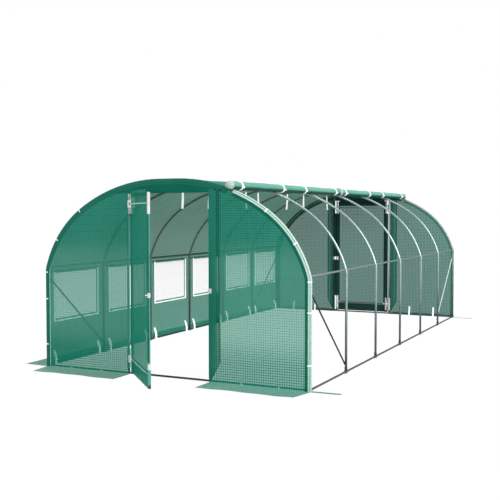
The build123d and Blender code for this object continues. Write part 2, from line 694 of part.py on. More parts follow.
def main():
    """Write one file for each node."""
    os.makedirs("parts", exist_ok=True)
    for name, shapes in centred(tunnel_pieces()).items():
        solids = [solid for shape in shapes for solid in shape.solids()]
        node = solids[0] if len(solids) == 1 else Compound(children=solids)
        export_step(node, f"parts/{name}.step")


main()
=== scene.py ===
import json

import bpy
import numpy as np
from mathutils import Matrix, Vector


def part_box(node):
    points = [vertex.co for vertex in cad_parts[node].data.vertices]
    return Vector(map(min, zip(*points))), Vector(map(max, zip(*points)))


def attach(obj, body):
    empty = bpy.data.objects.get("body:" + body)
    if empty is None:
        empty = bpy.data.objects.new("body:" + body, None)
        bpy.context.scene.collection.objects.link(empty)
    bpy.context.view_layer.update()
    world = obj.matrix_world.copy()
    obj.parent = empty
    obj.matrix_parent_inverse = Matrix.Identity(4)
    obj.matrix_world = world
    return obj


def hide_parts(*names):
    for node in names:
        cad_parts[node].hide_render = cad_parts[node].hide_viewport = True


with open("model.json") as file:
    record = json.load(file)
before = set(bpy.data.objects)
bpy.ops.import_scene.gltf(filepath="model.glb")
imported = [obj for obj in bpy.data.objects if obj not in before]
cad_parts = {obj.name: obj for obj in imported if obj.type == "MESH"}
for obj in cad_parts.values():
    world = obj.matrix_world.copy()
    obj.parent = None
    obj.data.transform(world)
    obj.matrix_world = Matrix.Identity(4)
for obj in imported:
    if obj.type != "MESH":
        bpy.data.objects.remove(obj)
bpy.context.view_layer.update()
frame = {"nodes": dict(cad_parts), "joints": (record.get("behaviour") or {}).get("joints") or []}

# The arch of the hoops, in metres and radians
HOOP_RADIUS = 0.0125
EAVES_HEIGHT = 1.030
EAVES_BEND_RADIUS = 0.150
EAVES_LEAN = np.radians(16.0)
HAUNCH_ANGLE = np.radians(40.0)
CROWN_FLAT = 0.200
BAYS = 6

# The woven cover: its layers, slack and folds, where each wave has a height, two slopes and a start
FILM_OFFSET = 0.0138
LAYER_GAP = 0.0014
ROOF_SLACK = 0.016
RIGHT_SLACK = 0.006
WALL_SLACK = 0.005
END_SLACK = 0.008
RIPPLE = 0.0016
RIPPLE_WAVES = ((1.0, 9.0, 5.0, 0.7), (0.7, -6.0, 17.0, 2.1), (0.5, 31.0, 11.0, 4.0), (0.35, 23.0, 43.0, 1.3))
END_RIPPLE_SPREAD = (1.7, 1.3)
CELL = 0.0235
SIDE_STEPS = (0.026, 0.028)

# The skirts on the ground
SKIRT_WIDTH = 0.284
SKIRT_LIFT = 0.0015
SKIRT_WAVE = 0.0035
SKIRT_WAVE_POWER = 1.5
SKIRT_WAVES = ((0.6, 7.0, 3.0, 0.0), (0.4, 19.0, -8.0, 1.0))
END_SKIRT_SHIFT = 2.0
TAIL_SHIFT = 0.3
CORNER_START = 1.2
CORNER_IN = 0.05

# Hems, tapes and loops round the end hoops
HEM_FACE = 0.044
HEM_SIDE = 0.055
TAPE_SIDE = 0.020
EDGE_BAND = 0.041
EDGE_BAND_OUT = 0.0125
FOOT_GAP = 0.004
LOOP_WIDTH = 0.012
LOOP_FACE = 0.016
LOOP_SIDE = 0.012
LOOP_LAYER = 3.4
LOOP_HEIGHTS = (0.24, 0.72, 1.0, 1.35, 1.655)

# Windows of the left wall
WINDOW_WIDTH = 0.760
WINDOW_SILL = 0.475
WINDOW_HEIGHT = 0.505
NET_LAP = 0.018
NET_STEP = 0.05
BINDING_WIDTH = 0.016
PIPING_RADIUS = 0.0075
FLAP_DROP = 0.560
FLAP_CORE = 0.003
FLAP_FILL = 0.93
FLAP_LUMPS = ((0.04, 2.0, 9.0, 0.0), (0.03, 3.0, -17.0, 0.0))
FLAP_PINCH = 0.12
FLAP_PINCH_REACH = 0.022
FLAP_STEP = 0.02
FLAP_TIE_WIDTH = 0.014
FLAP_TIE_PLACE = 0.270
FLAP_TIE_GAP = 0.0012
FLAP_TIE_THICKNESS = 0.001

# The ends: their rows and columns, the strips beside and over the doorway, and the cuts for the fittings
DOOR_HALF = 0.455
END_ROW_STEP = 0.034
DOORWAY_STEP = 0.035
JAMB_STEP = 0.012
END_COLUMNS = 30
CROWN_SHARE = 0.93
LEAST_SPAN = 0.02
JAMB_BAND = 0.128
JAMB_CORE = 0.080
JAMB_EDGE = 0.013
JAMB_LAP = 0.03
JAMB_ROWS = 160
BAND_FOOT = 0.043
CHAMFER_START = 0.037
CHAMFER_SLOPE = 1.74
HEADER_BAND_FOOT = 0.002
HEADER_BAND_GAP = 0.004
HEADER_BAND_LAYER = 1.5
NOTCH_REACH = 0.033
POST_X = 0.4675
POST_LUG_CUT = 0.017
POST_LUG_REACH = 0.009
LATCH_HEIGHT = 0.880
LATCH_CUT = 0.026

# Pockets of film round the tubes and sleeves
HEADER_RADIUS = 0.010
POCKET_GAP = 0.0018
POCKET_END = 0.020
POCKET_STEP = 0.03
POST_POCKET = 0.0133
STILE_POCKET = 0.0106
POST_SLEEVE_POCKET = 0.0172
SLEEVE_POCKET = 0.0152
SLEEVE_LENGTH = 0.197
SLEEVE_SHOWN = 0.060
SLEEVE_BUMP = 0.0044
SLEEVE_BUMP_REACH = 0.016
SLEEVE_END = 0.010

# The doors
STILE_X = 0.4148
DOOR_STEP = 0.03
DOOR_FLAP = 0.020
DOOR_NOTCH = 0.048
DOOR_LUG_CUT = 0.041
DOOR_LUG_REACH = 0.032
NOTCH_GAP = 0.004
DOOR_SLACK = 0.006
DOOR_FOLDS = 0.22
DOOR_FOLD_SPREAD = 1.5
DOOR_FOOT_HEM = 0.115
DOOR_SEAM = 0.010
DOOR_SEAM_LAYER = 2.0
LAP_START = 0.420
LAP_BEND = 0.452
LAP_EDGE = 0.478
LAP_OUT = 0.0205
LAP_HEAD = 0.380
LAP_HEAD_DROP = 0.030
LAP_HEAD_RISE = 0.018
LAP_STEP = 0.006
LAP_ROW_STEP = 0.04

# The rolled side: its turns, its lumps and folds, the dents at the hoops and the pinch at the ties
PANEL_BAYS = 3
PANEL_GAP = 0.006
ROLL_CORE = 0.006
ROLL_LAP = 0.012
ROLL_SINK = 0.016
ROLL_FILL = 0.945
ROLL_STEP = 0.022
ROLL_LUMPS = ((0.034, 2.0, 4.1, 0.0),)
ROLL_SWELL = 5.3
ROLL_SWELL_START = 0.6
ROLL_RIPPLES = ((0.022, 3.0, 13.0, 0.0),)
ROLL_FOLDS = ((0.018, 7.0, -26.0),)
ROLL_FOLD_BEND = 2.0
ROLL_FOLD_WANDER = 3.1
HOOP_DENT_REACH = 0.040
DENT_FILL = 0.96
LEAST_COSINE = 0.05
TIE_PINCH = 0.13
TIE_PINCH_REACH = 0.034

# Ties, lashings and straps of the rolled side and of the roof
TIE_THICKNESS = 0.0015
ROLL_TIE_WIDTH = 0.032
TAIL_LENGTH = 0.022
TAIL_WIDTH = 0.0125
TAIL_LEANS = (0.35, -0.55)
TAIL_LEAN_REACH = 0.035
TAIL_SHORTER = 0.3
TAIL_UNEVEN = 0.12
TAIL_BOW = 0.012
TAIL_SWING = 0.006
TAIL_STEP_DOWN = 0.004
TAIL_LENGTH_RATE = 2.3
TAIL_SWING_RATE = 1.9
LASHING_WIDTH = 0.060
LASHING_PUFF = 0.009
LASHING_SHUT = 0.10
LASHING_OUT = 0.008
LASHING_GATHER = 0.06
LASHING_END_SHARE = 0.76
LASHING_SHARE = 0.97
LASHING_CREASES = ((0.45, 3.0, 2.4, 0.0),)
LASHING_TWIST = 5.0
LASHING_CRINKLES = ((0.25, 7.0, -4.0, 0.0),)
STRAP_LENGTH = 0.225
STRAP_WIDTH = 0.025
STRAP_IN = 0.035
STRAP_FROM_HOOP = 0.185
STRAP_SWAY = 0.010
STRAP_SWAY_POWER = 1.5
STRAP_SWAY_TURN = 2.6
STRAP_SWAY_RATE = 1.7
STRAP_DRIFT = 0.008
STRAP_DRIFT_RATE = 2.1
STRAP_TWIST = 0.90
STRAP_TWIST_UNEVEN = 0.2
STRAP_TWIST_RATE = 1.3
STRAP_TWIST_START = 0.8

# Ties round the base rails
TIE_WIDTH = 0.025
WALL_TIE_WIDTH = 0.027
TIE_FROM_HOOP = 0.110
TIE_RISES = {"wall": 0.150, "front": 0.052, "rear": 0.140}
TIE_CLEAR = 0.0111
TIE_BOW = 0.010
TIE_TWIST = 0.8
TIE_WRAP = 1.3 * np.pi
TIE_CURL = 0.040
TIE_CURL_REACH = 1.7
TIE_CURL_SLANT = 0.3
END_TIE_XS = (-1.18, -0.80, 0.80, 1.18)

# Bolts through the flattened ends of the braces: the profile gives shares of the radius and of the height
BRACE_TOP = 0.950
BRACE_FOOT = 0.095
BRACE_FACE = 0.0158
BOLT_RADIUS = 0.0075
BOLT_HEIGHT = 0.0055
BOLT_PROFILE_SHARES = np.array([(1.0, 0.0), (1.0, 0.8), (0.82, 1.0), (0.0, 1.0)])

# The photograph's camera, worked out from the hoops and the doorway
CAMERA_PLACE = (4.26088, -9.82429, 1.62562)
CAMERA_TILT = np.radians(90.0 - 2.5539)
CAMERA_TURN = np.radians(25.7358)
CAMERA_LENS = 60.15
CAMERA_REACH = 200.0
SENSOR = 36.0

# The studio: a floor that shows white, dim light all round, and soft lamps
STUDIO_WHITE = (1.0, 1.0, 1.0)
FLOOR_TONE = (0.52, 0.52, 0.52)
FLOOR_GLOW = 1.09
FLOOR_GLOW_SHARE = 0.88
FLOOR_REACH = 60.0
FLOOR_DROP = 0.0005
WORLD_LIGHT = 0.26
LAMPS = (
    ("front_lamp", 1.7, np.radians(28.0), (-0.30, -0.66, 0.69)),
    ("side_lamp", 3.0, np.radians(44.0), (0.86, -0.14, 0.49)),
    ("camera_lamp", 0.7, np.radians(30.0), (0.42, -0.88, 0.22)),
)
CLEAR_LAYERS = 32
TINY = 1e-6

# Places read from the frame
hoop_low, hoop_high = (np.array(corner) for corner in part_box("hoop_1"))
LEG_X = hoop_high[0] - HOOP_RADIUS
CROWN_Z = hoop_high[2] - HOOP_RADIUS
FRONT_Y = (hoop_low[1] + hoop_high[1]) / 2
REAR_Y = sum(corner[1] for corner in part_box("hoop_7")) / 2
BAY = (REAR_Y - FRONT_Y) / BAYS
HOOP_YS = FRONT_Y + BAY * np.arange(BAYS + 1)
BAY_MIDDLES = (HOOP_YS[1:] + HOOP_YS[:-1]) / 2
HEADER_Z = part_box("front_panel_top")[0][2]
RAIL_Z = sum(corner[2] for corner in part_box("base_rails")) / 2
STRAP_X = -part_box("hanging_straps")[0][0]
roll_low, roll_high = (np.array(corner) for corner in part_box("rolled_side_cover"))
ROLL_X, _, ROLL_Z = (roll_low + roll_high) / 2
ROLL_RADIUS = (roll_high[0] - roll_low[0]) / 2
flap_low, flap_high = (np.array(corner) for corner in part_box("window_flaps"))
FLAP_X, _, FLAP_Z = (flap_low + flap_high) / 2
FLAP_RADIUS = (flap_high[0] - flap_low[0]) / 2
FLAP_REACH = flap_high[1] - BAY_MIDDLES[-1]

# The doors' places, in an end's own frame with the door closed
JOINTS = {joint["name"]: joint for joint in frame["joints"]}
PIN = np.array(JOINTS["front_door_hinge"]["pos_m"]) * (1, 1, 0) - (0, FRONT_Y, 0)
DOOR_ANGLES = {end: -np.radians(JOINTS[f"{end}_door_hinge"]["range_deg"][0]) for end in ("front", "rear")}
door_low, door_high = (np.array(corner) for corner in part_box("rear_door_cover"))
DOOR_EDGE = door_high[0] + DOOR_FLAP
DOOR_PLANE = (door_low[1] + door_high[1]) / 2 - REAR_Y
DOOR_FOOT, DOOR_TOP = door_low[2], door_high[2]
SLEEVE_FOOT, SLEEVE_TOP = (corner[2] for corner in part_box("rear_door_sleeves"))
SLEEVE_MIDDLES = (SLEEVE_FOOT + SLEEVE_LENGTH / 2, SLEEVE_TOP - SLEEVE_LENGTH / 2)

# The three-centred arch: two sums, across and up, give the haunch and crown radii
CROWN_START = EAVES_LEAN + HAUNCH_ANGLE
LEG_TOP = EAVES_HEIGHT - EAVES_BEND_RADIUS * np.tan(EAVES_LEAN / 2)
BEND_CENTRE = np.array([LEG_X - EAVES_BEND_RADIUS, LEG_TOP])
BEND_END = BEND_CENTRE + EAVES_BEND_RADIUS * np.array([np.cos(EAVES_LEAN), np.sin(EAVES_LEAN)])
HAUNCH_RADIUS, CROWN_RADIUS = np.linalg.solve(
    [
        [np.cos(EAVES_LEAN) - np.cos(CROWN_START), np.cos(CROWN_START)],
        [np.sin(CROWN_START) - np.sin(EAVES_LEAN), 1 - np.sin(CROWN_START)],
    ],
    [BEND_END[0] - CROWN_FLAT / 2, CROWN_Z - BEND_END[1]],
)
HAUNCH_CENTRE = BEND_END - HAUNCH_RADIUS * np.array([np.cos(EAVES_LEAN), np.sin(EAVES_LEAN)])
CROWN_CENTRE = np.array([CROWN_FLAT / 2, CROWN_Z - CROWN_RADIUS])
STRETCHES = np.array([
    LEG_TOP,
    EAVES_BEND_RADIUS * EAVES_LEAN,
    HAUNCH_RADIUS * HAUNCH_ANGLE,
    CROWN_RADIUS * (np.pi / 2 - CROWN_START),
    CROWN_FLAT / 2,
])
STARTS = np.concatenate([[0.0], np.cumsum(STRETCHES)])
HALF_ARCH = STARTS[-1]
PURLIN_S = STARTS[2]

# The rolled side on the arch: it rests on the crown and is sunk a little into it
ROLL_LEAN = np.arctan2(ROLL_X - CROWN_CENTRE[0], ROLL_Z - CROWN_CENTRE[1])
ROLL_S = 2 * HALF_ARCH - STARTS[4] + CROWN_RADIUS * ROLL_LEAN
ROLL_DROP = 2 * HALF_ARCH - ROLL_S + SKIRT_WIDTH
ROLL_DOWN = np.arctan2(-np.cos(ROLL_LEAN), -np.sin(ROLL_LEAN))
ROLL_AXIS = (ROLL_X - ROLL_SINK * np.sin(ROLL_LEAN), ROLL_Z - ROLL_SINK * np.cos(ROLL_LEAN))
panel_steps = BAY * np.array([0, 1, PANEL_BAYS - 1, PANEL_BAYS]) + STRAP_FROM_HOOP * np.array([1, 1, -1, -1])
TIE_YS = np.concatenate([HOOP_YS[first] + panel_steps for first in (0, PANEL_BAYS)])


def half_arch(t):
    """The right half of a hoop at distance t from its foot: (x, z, angle of the outward normal).

    The normal turns by the length run through on each arc divided by that arc's radius.
    """
    t = np.asarray(t, float)
    radii = np.array([EAVES_BEND_RADIUS, HAUNCH_RADIUS, CROWN_RADIUS])
    runs = [np.clip(t - start, 0, length) for start, length in zip(STARTS[1:4], STRETCHES[1:4])]
    angle = sum(run / radius for run, radius in zip(runs, radii))
    centres = (BEND_CENTRE, HAUNCH_CENTRE, CROWN_CENTRE)
    before = [t < start for start in STARTS[1:5]]
    xs = [LEG_X + 0 * t] + [c[0] + r * np.cos(angle) for c, r in zip(centres, radii)]
    zs = [t] + [c[1] + r * np.sin(angle) for c, r in zip(centres, radii)]
    x = np.select(before, xs, HALF_ARCH - t)
    z = np.select(before, zs, CROWN_Z)
    return x, z, angle


def arch(s, offset):
    """A point at distance s from the left foot over the ridge to the right foot, moved outwards by offset."""
    s = np.asarray(s, float)
    side = np.where(s < HALF_ARCH, -1.0, 1.0)
    x, z, angle = half_arch(np.where(s < HALF_ARCH, s, 2 * HALF_ARCH - s))
    return side * (x + offset * np.cos(angle)), z + offset * np.sin(angle)


def hoop_outside():
    """The outside of a hoop's right half up to the ridge's flat: (distance from the foot, x, z)."""
    t = np.linspace(0, STARTS[4], 600)
    x, z, angle = half_arch(t)
    return t, x + HOOP_RADIUS * np.cos(angle), z + HOOP_RADIUS * np.sin(angle)


def arch_distance(z):
    """How far from its foot the hoop's outside reaches height z."""
    t, _, height = hoop_outside()
    return np.interp(z, height, t)


def half_width(z):
    """Half the width of an end at height z, to the outside of the hoop."""
    _, x, height = hoop_outside()
    return np.interp(z, height, x)


def crown_distance(x):
    """How far from its foot the hoop's line has come in to half-width x, over the haunch and crown."""
    t = np.linspace(STARTS[2], HALF_ARCH, 600)
    return np.interp(-x, -half_arch(t)[0], t)


def lines(*stops, step):
    """Stations from stop to stop, with every stop among them and no gap wider than step."""
    counts = [int(np.ceil((b - a) / step - TINY)) + 1 for a, b in zip(stops, stops[1:])]
    runs = [np.linspace(a, b, count)[:-1] for a, b, count in zip(stops, stops[1:], counts)]
    return np.concatenate(runs + [[stops[-1]]])


def cells(stations):
    """The middles between stations."""
    return (stations[1:] + stations[:-1]) / 2


def grid(rows, columns):
    """Two parameters spread over rows and columns."""
    return np.meshgrid(rows, columns, indexing="ij")


def stacked(*parts):
    """Coordinates given apart, spread to one shape and joined along a last axis."""
    return np.stack(np.broadcast_arrays(*parts), -1)


def faced(columns, side):
    """A grid whose columns are turned round on the left side, so that its faces still look outwards."""
    return columns if side > 0 else columns[:, ::-1]


def waves(table, u, v):
    """A sum of sine waves, each with its own height, its slopes along u and v, and its start."""
    parts = [height * np.sin(slope_u * u + slope_v * v + start) for height, slope_u, slope_v, start in table]
    return sum(parts)


def soft_step(share):
    """A smooth step from 0 to 1: three times the square less twice the cube."""
    return share ** 2 * (3 - 2 * share)


def uneven(index, rate, start=0.0):
    """A number from -1 to 1 that differs from one strap to the next: a sine of its index."""
    return np.sin(rate * index + start)


def ribbon(path, across, width):
    """A flat strap carried along a path: every point of it widened both ways along a direction across."""
    shares = np.linspace(-0.5, 0.5, 3)
    spread = width * shares[None, :, None] * np.broadcast_to(across, path.shape)[:, None, :]
    run = np.concatenate([[0.0], np.cumsum(np.linalg.norm(np.diff(path, axis=0), axis=1))])
    return path[:, None, :] + spread, stacked(run[:, None], width * shares[None, :])


def rolled(axis, y, core, radius, drop, end_angle, segments, squeeze):
    """A sheet rolled up along Y about an axis in X and Z.

    The radius grows evenly from core to radius over as many turns as the sheet's drop fills, and is then
    multiplied by the squeeze for each side and place, so that the turns stay one inside the other.
    """
    turns = drop / (np.pi * (core + radius))
    share = np.linspace(0, 1, int(np.ceil(turns * segments)) + 1)[:, None]
    angle = end_angle + 2 * np.pi * turns * (1 - share)
    reach = (core + (radius - core) * share) * squeeze(angle, y[None, :])
    run = 2 * np.pi * turns * (core * share + (radius - core) * share ** 2 / 2)
    points = stacked(axis[0] + reach * np.cos(angle), y[None, :], axis[1] + reach * np.sin(angle))
    return points, stacked(y[None, :], run)


def surface(name, charts, body, finish, flip=False, thickness=None, smooth=True):
    """One mesh from charts: each is a grid of points and its UV, and may say which of its cells are kept.

    Each cell that is kept is a quad.
    """
    points, uv, faces, count = [], [], [], 0
    for places, places_uv, *kept in charts:
        index = np.arange(places[..., 0].size).reshape(places.shape[:2])
        corners = [index[:-1, :-1], index[1:, :-1], index[1:, 1:], index[:-1, 1:]]
        quads = np.stack(corners[::-1] if flip else corners, axis=-1).reshape(-1, 4)
        if kept:
            quads = quads[kept[0].reshape(-1)]
        used, quads = np.unique(quads, return_inverse=True)
        points.append(places.reshape(-1, 3)[used])
        uv.append(places_uv.reshape(-1, 2)[used])
        faces.append(quads.reshape(-1, 4) + count)
        count += len(used)
    faces = np.concatenate(faces)
    mesh = bpy.data.meshes.new(name)
    mesh.from_pydata(np.concatenate(points).tolist(), [], faces.tolist())
    layer = mesh.uv_layers.new(name="UVMap")
    layer.data.foreach_set("uv", np.concatenate(uv)[faces.reshape(-1)].astype(np.float32).ravel())
    mesh.polygons.foreach_set("use_smooth", np.full(len(faces), smooth))
    mesh.materials.append(finish)
    mesh.update()
    piece = bpy.data.objects.new(name, mesh)
    bpy.context.scene.collection.objects.link(piece)
    if thickness:
        solid = piece.modifiers.new("Thickness", "SOLIDIFY")
        solid.thickness = thickness
        solid.offset = 0
        solid.use_even_offset = True
    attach(piece, body)
    return piece


# Finishes

# Soft noise is spread from these two levels
NOISE_LOW, NOISE_HIGH = 0.3, 0.7

# Clouds are a scale, a detail and the values that they spread to; bumps are a strength and a depth in metres
CLOTH_IOR, CLOTH_SHINE = 1.35, 0.12
THREAD_SHARE, FILM_DRIFT, FILM_SHEEN, FILM_BUMP = 0.16, (2.4, 4.0), (6.0, 2.0, 0.38, 0.55), (0.25, 0.001)
CREASES, CREASE_DEPTH = (7.0, 4.0), 6.0
# Painted sheen: a paler, clearer band of film at window height that stands in for the reflection of the
# bright surroundings
SHEEN_BAND_LOW, SHEEN_BAND_HIGH, SHEEN_BAND_FADE = 0.34, 1.26, 0.16
PAINTED_SHEEN_SHARE, PAINTED_SHEEN_CLEAR, PAINTED_SHEEN_COLOUR = 0.27, 0.10, (0.20, 0.50, 0.40)
# Painted highlight: a pale line along a hem's first edge, for the hoop tube's highlight seen through the film
HIGHLIGHT_LINE_WIDTH, HIGHLIGHT_LINE_FADE, PAINTED_HIGHLIGHT_COLOUR = 0.007, 1.2, (0.36, 0.68, 0.56)
ROOF_SHADE_START, ROOF_SHADE_FADE, ROOF_SHADE = 1.45, 0.25, 0.28
# Painted shade: the roll's underside is painted dark below a height
UNDERSIDE_SHADE_FADE, UNDERSIDE_SHADE_COLOUR = 0.014, (0.005, 0.070, 0.052)
SHADE_BELOW_ROLL = 0.006
# The tape's pale colour is a painted highlight, strongest at eye height and fading towards the ground
TAPE_WEAVE, TAPE_DRIFT, TAPE_HIGHLIGHT_HEIGHT = (0.006, 0.25), (5.0, 3.0, -0.15, 0.15), 1.3
TAPE_FOOT, TAPE_HIGHLIGHT, TAPE_THREAD = (0.40, 0.70, 0.57), (0.78, 0.91, 0.85), (0.62, 0.83, 0.74)
TAPE_SHEEN, TAPE_BUMP, TAPE_LIGHT = (9.0, 2.0, 0.45, 0.60), (0.3, 0.0006), 0.30
NET_WEAVE, NET_DRIFT, NET_COLOURS = (0.0042, 0.26), (4.0, 2.0), ((0.93, 0.90, 0.93), (0.87, 0.85, 0.88))
NET_SHEEN, NET_BUMP, NET_LIGHT = (20.0, 2.0, 0.60, 0.75), (0.2, 0.0004), 0.55
NET_CLEAR, NET_TINT = (0.93, 0.42), (1.0, 0.985, 0.995)
RIB_WEAVE, RIB_DRIFT, RIB_COLOUR = (0.0022, 0.32), (30.0, 3.0), (0.83, 0.85, 0.84)
WEBBING_COLOURS = ((0.96, 0.96, 0.95), (0.90, 0.91, 0.90))
# The webbing's emission strength is a painted glow that brightens it in shade
WEBBING_SHEEN, WEBBING_BUMP, WEBBING_LIGHT, PAINTED_GLOW = (40.0, 2.0, 0.65, 0.80), (0.3, 0.0006), 0.45, 0.46
SPANGLE_SCALE, ZINC_SHEEN, ZINC_BUMP = 140.0, (60.0, 3.0, 0.22, 0.36), (0.06, 0.0005)
ZINC_METAL, ZINC_RIM = 0.72, (0.10, 0.11, 0.11)
# Painted shade: tubes under the closed side are darkened, fading out towards the open side
SHADE_X_FROM, SHADE_X_TO, SHADE_X_SHARE, PAINTED_SHADE_ZINC = -0.30, 0.75, 0.80, (0.085, 0.125, 0.115)
# Soil splash and painted shade: the tubes are darkened towards the ground, for dirt and for the highlights
# fading low down
SPLASH_AND_SHADE_LOW, SPLASH_AND_SHADE_HIGH, SPLASH_AND_SHADE_DRIFT = 0.05, 1.05, (9.0, 4.0, -0.10, 0.10)
# The dark colour serves soil and painted shade; the fade is that of the painted shade that darkens the front
# braces along the tunnel
SOIL_AND_SHADE_COLOUR, SHADE_ALONG_FADE = (0.055, 0.058, 0.070), 0.5
MOTTLE, PLASTIC_SHEEN, PLASTIC_SHINE = (22.0, 3.0), (50.0, 2.0, 0.34, 0.50), 0.45
PEBBLE_DETAIL, PEBBLE_BUMP = 2.0, (0.10, 0.0004)


class Mixer:
    """A node tree that is being filled, with the patterns and steps that the finishes share."""

    def __init__(self, tree):
        """Starts with the tree emptied."""
        self.tree = tree
        tree.nodes.clear()

    def node(self, kind, inputs=None, **settings):
        """A new node with its settings; each input gets a socket, a number, or red, green and blue."""
        made = self.tree.nodes.new("ShaderNode" + kind)
        for key, value in settings.items():
            setattr(made, key, value)
        for socket, value in (inputs or {}).items():
            if isinstance(value, bpy.types.NodeSocket):
                self.tree.links.new(value, made.inputs[socket])
            else:
                made.inputs[socket].default_value = (*value, 1.0) if isinstance(value, tuple) else value
        return made

    def math(self, operation, first, second=0.0):
        """A sum, product or the like of a socket with a number or another socket."""
        return self.node("Math", {0: first, 1: second}, operation=operation).outputs[0]

    def ramp(self, value, start, end, low=0.0, high=1.0, smooth=False):
        """A value that goes from low to high between start and end, evenly or by a soft step."""
        ends = {"Value": value, "From Min": start, "From Max": end, "To Min": low, "To Max": high}
        return self.node("MapRange", ends, interpolation_type="SMOOTHSTEP" if smooth else "LINEAR").outputs[0]

    def places(self, kind):
        """The piece's Object or UV coordinates, apart."""
        return self.node("SeparateXYZ", {0: self.node("TexCoord").outputs[kind]}).outputs

    def threads(self, cell, share):
        """1 on the threads of a square grid of the given cell, 0 between them, on UV in metres."""
        place = self.node("TexCoord").outputs["UV"]
        scaled = self.node("VectorMath", {0: place, "Scale": 1 / cell}, operation="SCALE").outputs[0]
        parts = self.node("SeparateXYZ", {0: scaled}).outputs
        ridges = []
        for axis in ("X", "Y"):
            from_middle = self.math("SUBTRACT", self.math("FRACT", parts[axis]), 0.5)
            from_middle = self.math("ABSOLUTE", from_middle)
            ridges.append(self.ramp(from_middle, 0.5 - share, 0.5 - share / 3, smooth=True))
        return self.math("MAXIMUM", *ridges)

    def cloud(self, scale, detail, low=0.0, high=1.0):
        """Soft noise on Object coordinates, spread from low to high."""
        place = self.node("TexCoord").outputs["Object"]
        noise = self.node("TexNoise", {"Vector": place, "Scale": scale, "Detail": detail})
        return self.ramp(noise.outputs["Fac"], NOISE_LOW, NOISE_HIGH, low, high)

    def height_band(self, low, high, fade):
        """1 between two heights and 0 beyond them, with a soft change at both."""
        z = self.places("Object")["Z"]
        rise = self.ramp(z, low - fade, low + fade, smooth=True)
        fall = self.ramp(z, high - fade, high + fade, 1.0, 0.0, smooth=True)
        return self.math("MULTIPLY", rise, fall)

    def colour(self, share, first, second):
        """Two colours mixed by a share."""
        return self.node("Mix", {"Factor": share, 6: first, 7: second}, data_type="RGBA").outputs[2]

    def bump(self, height, strength, depth):
        """A normal from a height."""
        inputs = {"Height": height, "Strength": strength, "Distance": depth}
        return self.node("Bump", inputs).outputs["Normal"]

    def blend(self, share, first, second):
        """Two shaders mixed by a share."""
        return self.node("MixShader", {"Fac": share, 1: first, 2: second}).outputs[0]

    def cloth(self, base, normal, roughness, light):
        """Cloth lit from both sides: a satin face, and a share of the light that falls on its back."""
        face = self.node("BsdfPrincipled", {
            "Base Color": base, "Roughness": roughness, "Normal": normal,
            "IOR": CLOTH_IOR, "Specular IOR Level": CLOTH_SHINE,
        })
        through = self.node("BsdfTranslucent", {"Color": base})
        return self.blend(light, face.outputs[0], through.outputs[0])

    def see_through(self, shader, share, tint):
        """A shader made partly clear by a share, with a tint for what is seen through it."""
        return self.blend(share, shader, self.node("BsdfTransparent", {"Color": tint}).outputs[0])

    def show(self, shader):
        """The shader as the surface."""
        self.node("OutputMaterial", {"Surface": shader})


def new_finish(name):
    """A new material and the mixer of its empty tree."""
    made = bpy.data.materials.new(name)
    made.use_nodes = True
    return made, Mixer(made.node_tree)


def woven_green(name, colours, thread_colour, light, clear=None, tint=None, painted_sheen=False, painted_highlight=False,
                shade_below=None, roof=False):
    """Reinforced green film: a square grid of threads, a drift in its green, and clearer between the threads.

    A painted sheen makes it paler and clearer at window height, for a reflection of the bright surroundings.
    A painted highlight is a pale line along the first edge of a strip, up to the eaves, for the hoop tube's
    highlight seen through it. Below a given height it is painted dark, as painted shade under the roll. A
    roof is less clear towards the ridge.
    """
    made, mixer = new_finish(name)
    thread = mixer.threads(CELL, THREAD_SHARE)
    base = mixer.colour(mixer.cloud(*FILM_DRIFT), *colours)
    base = mixer.colour(thread, base, thread_colour)
    # Painted sheen: the film is painted paler at window height, for a reflection of the bright surroundings
    if painted_sheen:
        pale = mixer.height_band(SHEEN_BAND_LOW, SHEEN_BAND_HIGH, SHEEN_BAND_FADE)
        base = mixer.colour(mixer.math("MULTIPLY", pale, PAINTED_SHEEN_SHARE), base, PAINTED_SHEEN_COLOUR)
    # Painted highlight: a pale line along the strip's first edge up to the eaves, standing in for the hoop
    # tube's highlight seen through it
    if painted_highlight:
        edge = mixer.ramp(mixer.places("UV")["Y"], HIGHLIGHT_LINE_WIDTH, HIGHLIGHT_LINE_WIDTH * HIGHLIGHT_LINE_FADE, 1.0, 0.0)
        edge = mixer.math("MULTIPLY", mixer.height_band(-1.0, EAVES_HEIGHT, EAVES_BEND_RADIUS), edge)
        base = mixer.colour(edge, base, PAINTED_HIGHLIGHT_COLOUR)
    # Painted shade: below the given height the film is painted dark, for the shaded underside of the roll
    if shade_below:
        unshaded = mixer.height_band(shade_below, 2 * shade_below, UNDERSIDE_SHADE_FADE)
        base = mixer.colour(unshaded, UNDERSIDE_SHADE_COLOUR, base)
    creases = mixer.math("MULTIPLY", mixer.cloud(*CREASES), CREASE_DEPTH)
    normal = mixer.bump(mixer.math("ADD", thread, creases), *FILM_BUMP)
    shader = mixer.cloth(base, normal, mixer.cloud(*FILM_SHEEN), light)
    if clear:
        share = mixer.ramp(thread, 0.0, 1.0, *clear)
        # The painted sheen also makes the film clearer in the same band
        if painted_sheen:
            share = mixer.math("ADD", share, mixer.math("MULTIPLY", pale, PAINTED_SHEEN_CLEAR))
        if roof:
            upper = mixer.height_band(ROOF_SHADE_START, 2 * CROWN_Z, ROOF_SHADE_FADE)
            upper = mixer.math("MULTIPLY", upper, ROOF_SHADE)
            share = mixer.math("SUBTRACT", share, mixer.math("MULTIPLY", upper, share))
        shader = mixer.see_through(shader, share, tint)
    mixer.show(shader)
    return made


